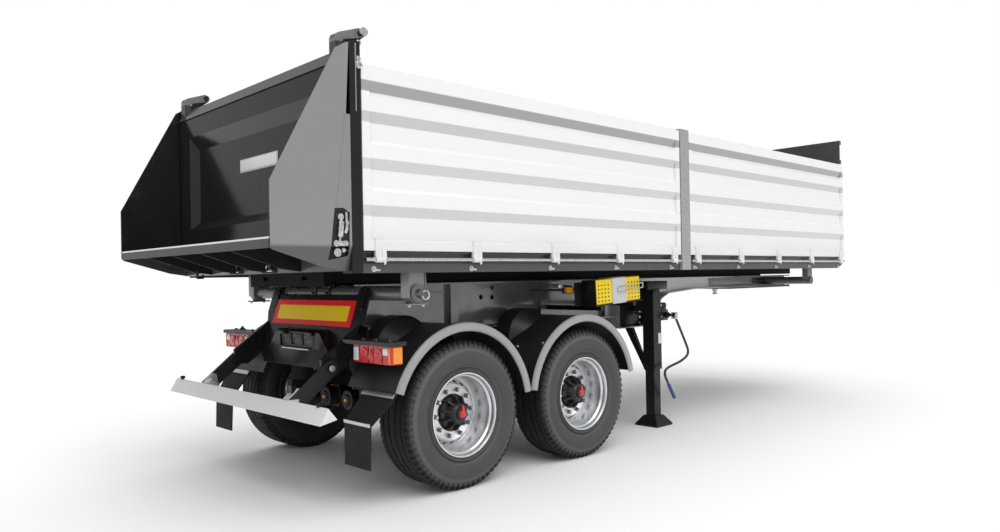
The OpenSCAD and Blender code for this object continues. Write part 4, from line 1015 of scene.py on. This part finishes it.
def rail_bosses(side, word):
    """Catches on the rail's foot beside each hinge."""
    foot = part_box("bed_rails")[1].y
    bm = bmesh.new()
    for part in ("rear", "front"):
        low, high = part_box("side_%s_%s" % (word, part))
        for x in strap_places(low.x, high.x):
            seat = vec(x - 0.035, side * (foot - 0.002), 1.572)
            stub(bm, seat, vec(0, side * 0.008, 0), 0.02, 20)
            stub(bm, seat, vec(0, side * 0.018, 0), 0.011, 6)
            block(bm, seat + vec(0.014, 0, -0.014), seat + vec(0.05, side * 0.01, 0.002), 0.003)
    piece("rail_bosses_" + word, bm, "bed", ZINC)


def tip_bearing(side, word):
    """Cast bearing under the bed: side ribs, foot flange, and the pin with its handle."""
    out = vec(0, side, 0)
    bm = bmesh.new()
    for dx in (-0.074, 0.066):
        block(bm, TIP_AXIS + out * 1.084 + vec(dx, 0, -0.03),
              TIP_AXIS + out * 1.178 + vec(dx + 0.008, 0, 0.178), 0.002, index=1)
    block(bm, TIP_AXIS + out * 1.078 + vec(-0.084, 0, -0.08),
          TIP_AXIS + out * 1.182 + vec(0.084, 0, -0.068), 0.003, index=1)
    for dx in (-0.06, 0.06):
        seat = TIP_AXIS + out * 1.16 + vec(dx, 0, -0.08)
        stub(bm, seat, -vec(0, 0, 0.012), 0.011, 6)
    bar(bm, TIP_AXIS + out * 1.17, TIP_AXIS + out * 1.19, 0.05, 36, 0.044, index=2)
    bar(bm, TIP_AXIS + out * 1.19, TIP_AXIS + out * 1.212, 0.032, 24, 0.022, index=2)
    ring(bm, TIP_AXIS + out * 1.2 + vec(0.05, 0, -0.012), (0, 1, 0), 0.03, 0.0065)
    handle = TIP_AXIS + out * 1.2 + vec(0.05, 0, 0.012)
    stub(bm, handle, vec(0.17, 0, -0.012), 0.0055, 12, index=2)
    piece("tip_bearing_" + word, bm, "bed", [ZINC, CAST, NUT])


def post_trim(side, word):
    """Beads on a rear post and its cheek, and the post's catch, pin cap and ring."""
    out = vec(0, side, 0)
    bm = bmesh.new()
    block(bm, spot(-0.912, side * (HALF_WIDTH - 0.002), 2.565),
          spot(-0.905, side * (HALF_WIDTH + 0.005), 2.995), 0.002)
    y0, y1 = side * (HALF_WIDTH - 0.002), side * (HALF_WIDTH + 0.0015)
    plate(bm, [(-1.06, 1.955), (-1.064, 1.955), (-0.994, 2.535), (-0.99, 2.535)], y0, y1)
    piece("post_bead_" + word, bm, "bed", CHUTE)
    bm = bmesh.new()
    latch = spot(-0.886, side * HALF_WIDTH, 2.872)
    block(bm, latch + vec(-0.014, -side * 0.002, -0.032), latch + vec(0.012, side * 0.005, 0.044),
          0.002)
    ring(bm, latch + out * 0.008 + vec(0, 0, -0.012), (0, 1, 0), 0.02, 0.0055)
    bar(bm, latch + vec(0, 0, 0.024), latch + out * 0.014 + vec(0, 0, 0.024), 0.011, 14)
    cap = spot(-0.838, side * (HALF_WIDTH - 0.008), 3.08)
    stub(bm, cap, out * 0.012, 0.03, 28, 0.027)
    ring(bm, spot(-0.86, side * (HALF_WIDTH - 0.03), 3.012), (0, 1, 0), 0.014, 0.005)
    piece("post_catch_" + word, bm, "bed", ZINC)


def cheek_lock(side, word):
    """Lock of the tailgate in the cheek's opening: rod in its sleeve, claw and levers."""
    y0 = side * (HALF_WIDTH - 0.007)
    y1 = side * (HALF_WIDTH + 0.004)
    rod = side * (HALF_WIDTH + 0.003)
    bm = bmesh.new()
    bar(bm, spot(-1.046, rod, 1.735), spot(-1.028, rod, 1.905), 0.008, 14)
    plate(bm, [(-1.06, 1.772), (-1.024, 1.768), (-1.012, 1.868), (-1.048, 1.872)], y0,
          side * (HALF_WIDTH + 0.012), 0.006)
    bar(bm, spot(-1.036, y0, 1.895), spot(-1.036, side * (HALF_WIDTH + 0.008), 1.895), 0.021, 20)
    plate(bm, [(-1.0, 1.93), (-0.985, 1.925), (-0.98, 1.82), (-0.995, 1.79), (-1.012, 1.8), (-1.0, 1.83)],
          y0, y1, 0.003)
    plate(bm, [(-1.085, 1.74), (-1.0, 1.75), (-0.985, 1.735), (-1.0, 1.715), (-1.08, 1.718)], y0, y1, 0.003)
    for x, z, r in ((-1.07, 1.73, 0.02), (-1.0, 1.732, 0.016), (-0.99, 1.86, 0.013)):
        bar(bm, spot(x, y0, z), spot(x, side * (HALF_WIDTH + 0.009), z), r, 18)
    piece("cheek_lock_" + word, bm, "bed", ZINC)
    deep = side * (HALF_WIDTH - 0.06)
    front = side * (HALF_WIDTH - 0.03)
    bm = bmesh.new()
    block(bm, spot(-1.125, deep, 1.615), spot(-0.965, front, 1.725), 0.004)
    bar(bm, spot(-1.05, front, 1.675), spot(-1.05, side * (HALF_WIDTH - 0.012), 1.675), 0.026, 24, index=1)
    bar(bm, spot(-1.005, front, 1.69), spot(-1.005, side * (HALF_WIDTH - 0.014), 1.69), 0.015, 6, index=1)
    piece("cheek_lock_box_" + word, bm, "bed", [UNDER, ZINC])


def chute_rings():
    """Face of the beam under the chute, and the tie-down eyes in their dark pockets."""
    low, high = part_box("chute_floor")
    face = high.x - 0.04
    bm = bmesh.new()
    block(bm, (face - 0.006, low.y + 0.02, low.z + 0.002),
          (face + 0.002, high.y - 0.02, low.z + 0.085), 0.002, index=2)
    for y in (-0.268, 0.255):
        block(bm, (face - 0.009, y - 0.1, 1.563), (face - 0.004, y + 0.1, 1.632), 0.002, index=1)
        for dy in (-0.1, 0.092):
            block(bm, (face - 0.018, y + dy, 1.565), (face - 0.004, y + dy + 0.008, 1.632), 0.002, index=1)
        for dy in (-0.038, 0.038):
            bar(bm, (face - 0.02, y + dy, 1.58), (face - 0.02, y + dy * 0.5, 1.622), 0.009, 12)
        bar(bm, (face - 0.02, y - 0.021, 1.622), (face - 0.02, y + 0.021, 1.622), 0.009, 12)
        bar(bm, (face - 0.02, y - 0.06, 1.582), (face - 0.02, y + 0.06, 1.582), 0.009, 12)
    piece("chute_rings", bm, "bed", [ZINC, UNDER, RAIL])


def chute_hook():
    """Rope hook under the chute's floor."""
    top = spot(-1.15, 0.62, 1.6)
    bm = bmesh.new()
    stub(bm, top, -vec(0, 0, 0.062), 0.009, 14)
    bar(bm, top - vec(0.004, 0, 0.058), top - vec(-0.045, 0, 0.058), 0.009, 14)
    bar(bm, top - vec(-0.043, 0, 0.062), top - vec(-0.043, 0, 0.034), 0.009, 14)
    piece("chute_hook", bm, "bed", UNDER)


def gate_badge():
    """Blank badge on the floor of the tailgate's pocket."""
    face = spot(-0.981, 0, 0).x
    bm = bmesh.new()
    block(bm, (face - 0.006, -0.38, 2.325), (face + 0.002, 0.2, 2.425), 0.003)
    block(bm, (face - 0.009, -0.37, 2.335), (face - 0.004, 0.19, 2.415), 0.002, index=1)
    piece("gate_badge", bm, "tailgate", [GREY, BLANK])


# Chassis fittings


def leaning(name, bm, mat, replaces=()):
    """A piece at the chocks, moved and leant with them."""
    move(bm, CHOCK_LEAN)
    piece(name, bm, "chassis", mat, replaces=replaces)


def chock_trim():
    """Chocks in their leaning holder, their sockets, the strap over both and its wire clip."""
    low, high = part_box("chocks")
    face = low.y
    bm = copied("chock_holder")
    block(bm, (low.x - 0.006, low.y + 0.003, low.z - 0.004), (low.x + 0.002, high.y, high.z + 0.002), 0.002)
    leaning("chock_cradle", bm, CHASSIS, replaces=["chock_holder"])
    bm = bmesh.new()
    half = (high.x - low.x - 0.014) / 2
    for x0 in (low.x, high.x - half):
        block(bm, (x0, low.y, low.z), (x0 + half, high.y, high.z), 0.012)
    leaning("chock_pair", bm, YELLOW, replaces=["chocks"])
    bm = bmesh.new()
    for x0 in (low.x + 0.03, high.x - 0.17):
        for i in range(SOCKET_COLUMNS):
            for k in range(SOCKET_ROWS):
                seat = vec(x0 + 0.045 * i, face + 0.002, low.z + 0.03 + 0.034 * k)
                stub(bm, seat, -vec(0, 0.0035, 0), 0.0075, 12)
    leaning("chock_sockets", bm, UNDER)
    bm = bmesh.new()
    strap0, strap1 = low.x + 0.215, low.x + 0.405
    block(bm, (strap0, face - 0.008, low.z - 0.006), (strap1, face + 0.004, high.z + 0.008), 0.003)
    block(bm, (strap0, face - 0.008, high.z - 0.002), (strap1, high.y, high.z + 0.008), 0.003)
    leaning("chock_strap", bm, GREY)
    bm = bmesh.new()
    loop = [(low.x + 0.285, 0.087), (low.x + 0.645, 0.109), (low.x + 0.648, 0.151), (low.x + 0.285, 0.133)]
    points = [vec(x, face - 0.014, low.z + dz) for x, dz in loop]
    for a, b in zip(points, points[1:] + points[:1]):
        bar(bm, a, b, 0.0055, 10)
        bmesh.ops.create_icosphere(bm, subdivisions=2, radius=0.0056, matrix=Matrix.Translation(a))
    bar(bm, points[1], points[1] + vec(0, 0.2, -0.01), 0.0055, 10)
    leaning("chock_clip", bm, ZINC)


def marker_base(side, word):
    """Arm and clip that carry a side marker."""
    lamp = spot(1.393, side * 0.98, 1.385)
    bm = bmesh.new()
    tilt = math.radians(4)
    block(bm, lamp + vec(-0.26, -side * 0.012, 0.02), lamp + vec(0.05, side * 0.002, 0.05),
          0.006, tilt)
    block(bm, lamp + vec(-0.06, -side * 0.02, -0.03), lamp + vec(0.06, side * 0.002, 0.028), 0.004)
    block(bm, lamp + vec(-0.13, -side * 0.004, 0.022), lamp + vec(-0.07, side * 0.008, 0.048),
          0.003, tilt, 1)
    piece("marker_base_" + word, bm, "chassis", [PLASTIC, ZINC])


def leg_fittings(side, word):
    """Gear case and bolts on a landing leg, and the plate and head that join it to the beam."""
    leg = spot(LEG_X, side * LEG_Y, 0)
    bm = bmesh.new()
    case = leg + vec(0.1, 0, 1.13)
    block(bm, case + vec(-0.04, -0.05, -0.075), case + vec(0.09, 0.05, 0.09), 0.014)
    shaft = case + vec(0.084, side * 0.013, -0.036)
    stub(bm, shaft, vec(0, side * 0.06, 0), 0.034, 24, 0.03)
    for dx, dz in ((-0.02, -0.05), (-0.02, 0.065), (0.07, 0.065)):
        seat = case + vec(dx, side * 0.049, dz)
        stub(bm, seat, vec(0, side * 0.01, 0), 0.011, 6, index=1)
    for z in (1.17, 1.24, 1.33, 1.41):
        for dx in (-0.045, 0.045):
            seat = leg + vec(dx, -side * 0.064, z)
            stub(bm, seat, vec(0, side * 0.012, 0), 0.012, 6, index=1)
    block(bm, spot(2.68, side * 0.545, 0.985), spot(3.06, side * 0.572, 1.36), 0.004)
    block(bm, spot(2.72, side * 0.56, 1.355), spot(3.06, side * 0.86, 1.44), 0.006)
    block(bm, spot(2.79, side * 0.75, 1.28), spot(2.91, side * 0.872, 1.36), 0.004)
    for z in (1.01, 1.07, 1.13):
        seat = spot(2.96, side * 0.571, z)
        stub(bm, seat, vec(0, side * 0.014, 0), 0.013, 6, index=1)
    piece("leg_fittings_" + word, bm, "chassis", [CHASSIS, ZINC])


def leg_label():
    """Bare label on the right leg."""
    face = spot(LEG_X, -0.876, 0)
    bm = bmesh.new()
    block(bm, face + vec(0.012, 0.001, 0.815), face + vec(0.056, -0.002, 0.92), 0.001)
    piece("leg_label", bm, "chassis", BLANK)


def neck_plate():
    """Bare plate on the right side of the neck."""
    bm = bmesh.new()
    block(bm, spot(4.37, -0.545, 1.358), spot(5.37, -0.55, 1.452), 0.001)
    piece("neck_plate", bm, "chassis", CAST)


def landing_crank():
    """Bent crank on the gear's shaft, and the clevis that joins the two."""
    hub = spot(CRANK_PATH[0][0], -0.956, CRANK_PATH[0][1])
    path = smooth([spot(x, hub.y, z) for x, z in CRANK_PATH])
    bm = bmesh.new()
    swept(bm, path, 0.0125)
    swept(bm, path[-5:], 0.0175, 14)
    bar(bm, hub - vec(0, 0.014, 0), hub + vec(0, 0.014, 0), 0.022, 20)
    bar(bm, hub, vec(hub.x, LEG_Y, hub.z), 0.015)
    for side in (-1, 1):
        gear = vec(hub.x - 0.119, side * LEG_Y, hub.z)
        block(bm, gear + vec(0, -0.045, -0.055), gear + vec(0.159, 0.045, 0.055), 0.008)
    piece("crank", bm, "chassis", OWN_FINISH["landing_crank"], replaces=["landing_crank"])
    bm = bmesh.new()
    block(bm, hub + vec(-0.022, -0.024, -0.04), hub + vec(0.022, -0.014, 0.03), 0.003)
    block(bm, hub + vec(-0.022, 0.014, -0.04), hub + vec(0.022, 0.024, 0.03), 0.003)
    bar(bm, hub + vec(0, -0.032, -0.02), hub + vec(0, 0.032, -0.02), 0.009, 6)
    piece("crank_clamp", bm, "chassis", ZINC)


# Studio


def studio():
    scene = bpy.context.scene
    bm = bmesh.new()
    bmesh.ops.create_circle(bm, cap_ends=True, radius=FLOOR_RADIUS, segments=96)
    mesh = bpy.data.meshes.new("studio_floor")
    bm.to_mesh(mesh)
    bm.free()
    floor = bpy.data.objects.new("studio_floor", mesh)
    mat = finish("studio_floor", Roughness=0.7, Specular_IOR_Level=0.2)
    colour(mat, noise(mat, 0.4), (0.95, 0.95, 0.95), (0.97, 0.97, 0.97))
    mesh.materials.append(mat)
    scene.collection.objects.link(floor)
    scene.world = studio_world()
    scene.view_settings.view_transform = "Standard"
    soft_sun("key_light", (-0.25, -0.75, 1.0), KEY_LIGHT, 55.0)
    soft_sun("top_light", (0.1, 0.1, 1.0), TOP_LIGHT, 70.0)


def studio_world():
    """White backdrop whose light on the object is weaker than the backdrop looks."""
    world = bpy.data.worlds.new("studio_world")
    world.use_nodes = True
    tree = world.node_tree
    backdrop = tree.nodes["Background"]
    backdrop.inputs["Strength"].default_value = 1.0
    ambient = tree.nodes.new("ShaderNodeBackground")
    ambient.inputs["Color"].default_value = (1, 1, 1, 1)
    backdrop.inputs["Color"].default_value = (1, 1, 1, 1)
    ambient.inputs["Strength"].default_value = AMBIENT_LIGHT
    mix = tree.nodes.new("ShaderNodeMixShader")
    seen = tree.nodes.new("ShaderNodeLightPath").outputs["Is Camera Ray"]
    tree.links.new(seen, mix.inputs[0])
    tree.links.new(ambient.outputs[0], mix.inputs[1])
    tree.links.new(backdrop.outputs[0], mix.inputs[2])
    tree.links.new(mix.outputs[0], tree.nodes["World Output"].inputs["Surface"])
    return world


def soft_sun(name, towards, strength, spread):
    """Even light from one side of the studio; the spread softens its shadows."""
    light = bpy.data.lights.new(name, "SUN")
    light.energy = strength
    light.angle = math.radians(spread)
    obj = bpy.data.objects.new(name, light)
    obj.matrix_world = Vector(towards).to_track_quat("Z", "Y").to_matrix().to_4x4()
    bpy.context.scene.collection.objects.link(obj)


def camera():
    flat = vec(math.cos(CAMERA_YAW), math.sin(CAMERA_YAW), 0)
    ahead = flat * math.cos(CAMERA_PITCH) + vec(0, 0, math.sin(CAMERA_PITCH))
    right = ahead.cross(vec(0, 0, 1)).normalized()
    up = right.cross(ahead)
    c, s = math.cos(CAMERA_ROLL), math.sin(CAMERA_ROLL)
    right, up = right * c + up * s, up * c - right * s
    lens_data = bpy.data.cameras.new("photo_camera")
    lens_data.sensor_width = 36.0
    lens_data.lens = CAMERA_LENS
    lens_data.shift_x, lens_data.shift_y = CAMERA_SHIFT
    lens_data.clip_end = 200.0
    obj = bpy.data.objects.new("photo_camera", lens_data)
    obj.matrix_world = Matrix.Translation(CAMERA_PLACE) @ Matrix((right, up, -ahead)).transposed().to_4x4()
    bpy.context.scene.collection.objects.link(obj)
    bpy.context.scene.camera = obj


camera()
studio()
dress_nodes()
for corner in CORNERS:
    tyre(corner)
    rim(corner)
    wheel_trim(corner)
    hinge_hooks(corner)
for side, word in SIDES:
    for make in (rear_lamp, lamp_fittings, guard_fittings, flap_strips, fender_bolts, rail_bosses,
                 tip_bearing, post_trim, cheek_lock, marker_base, leg_fittings):
        make(side, word)
plate_holder()
shaft_collars()
chamber_bands()
chute_rings()
chute_hook()
gate_badge()
chock_trim()
leg_label()
landing_crank()
tail_plate()
neck_plate()
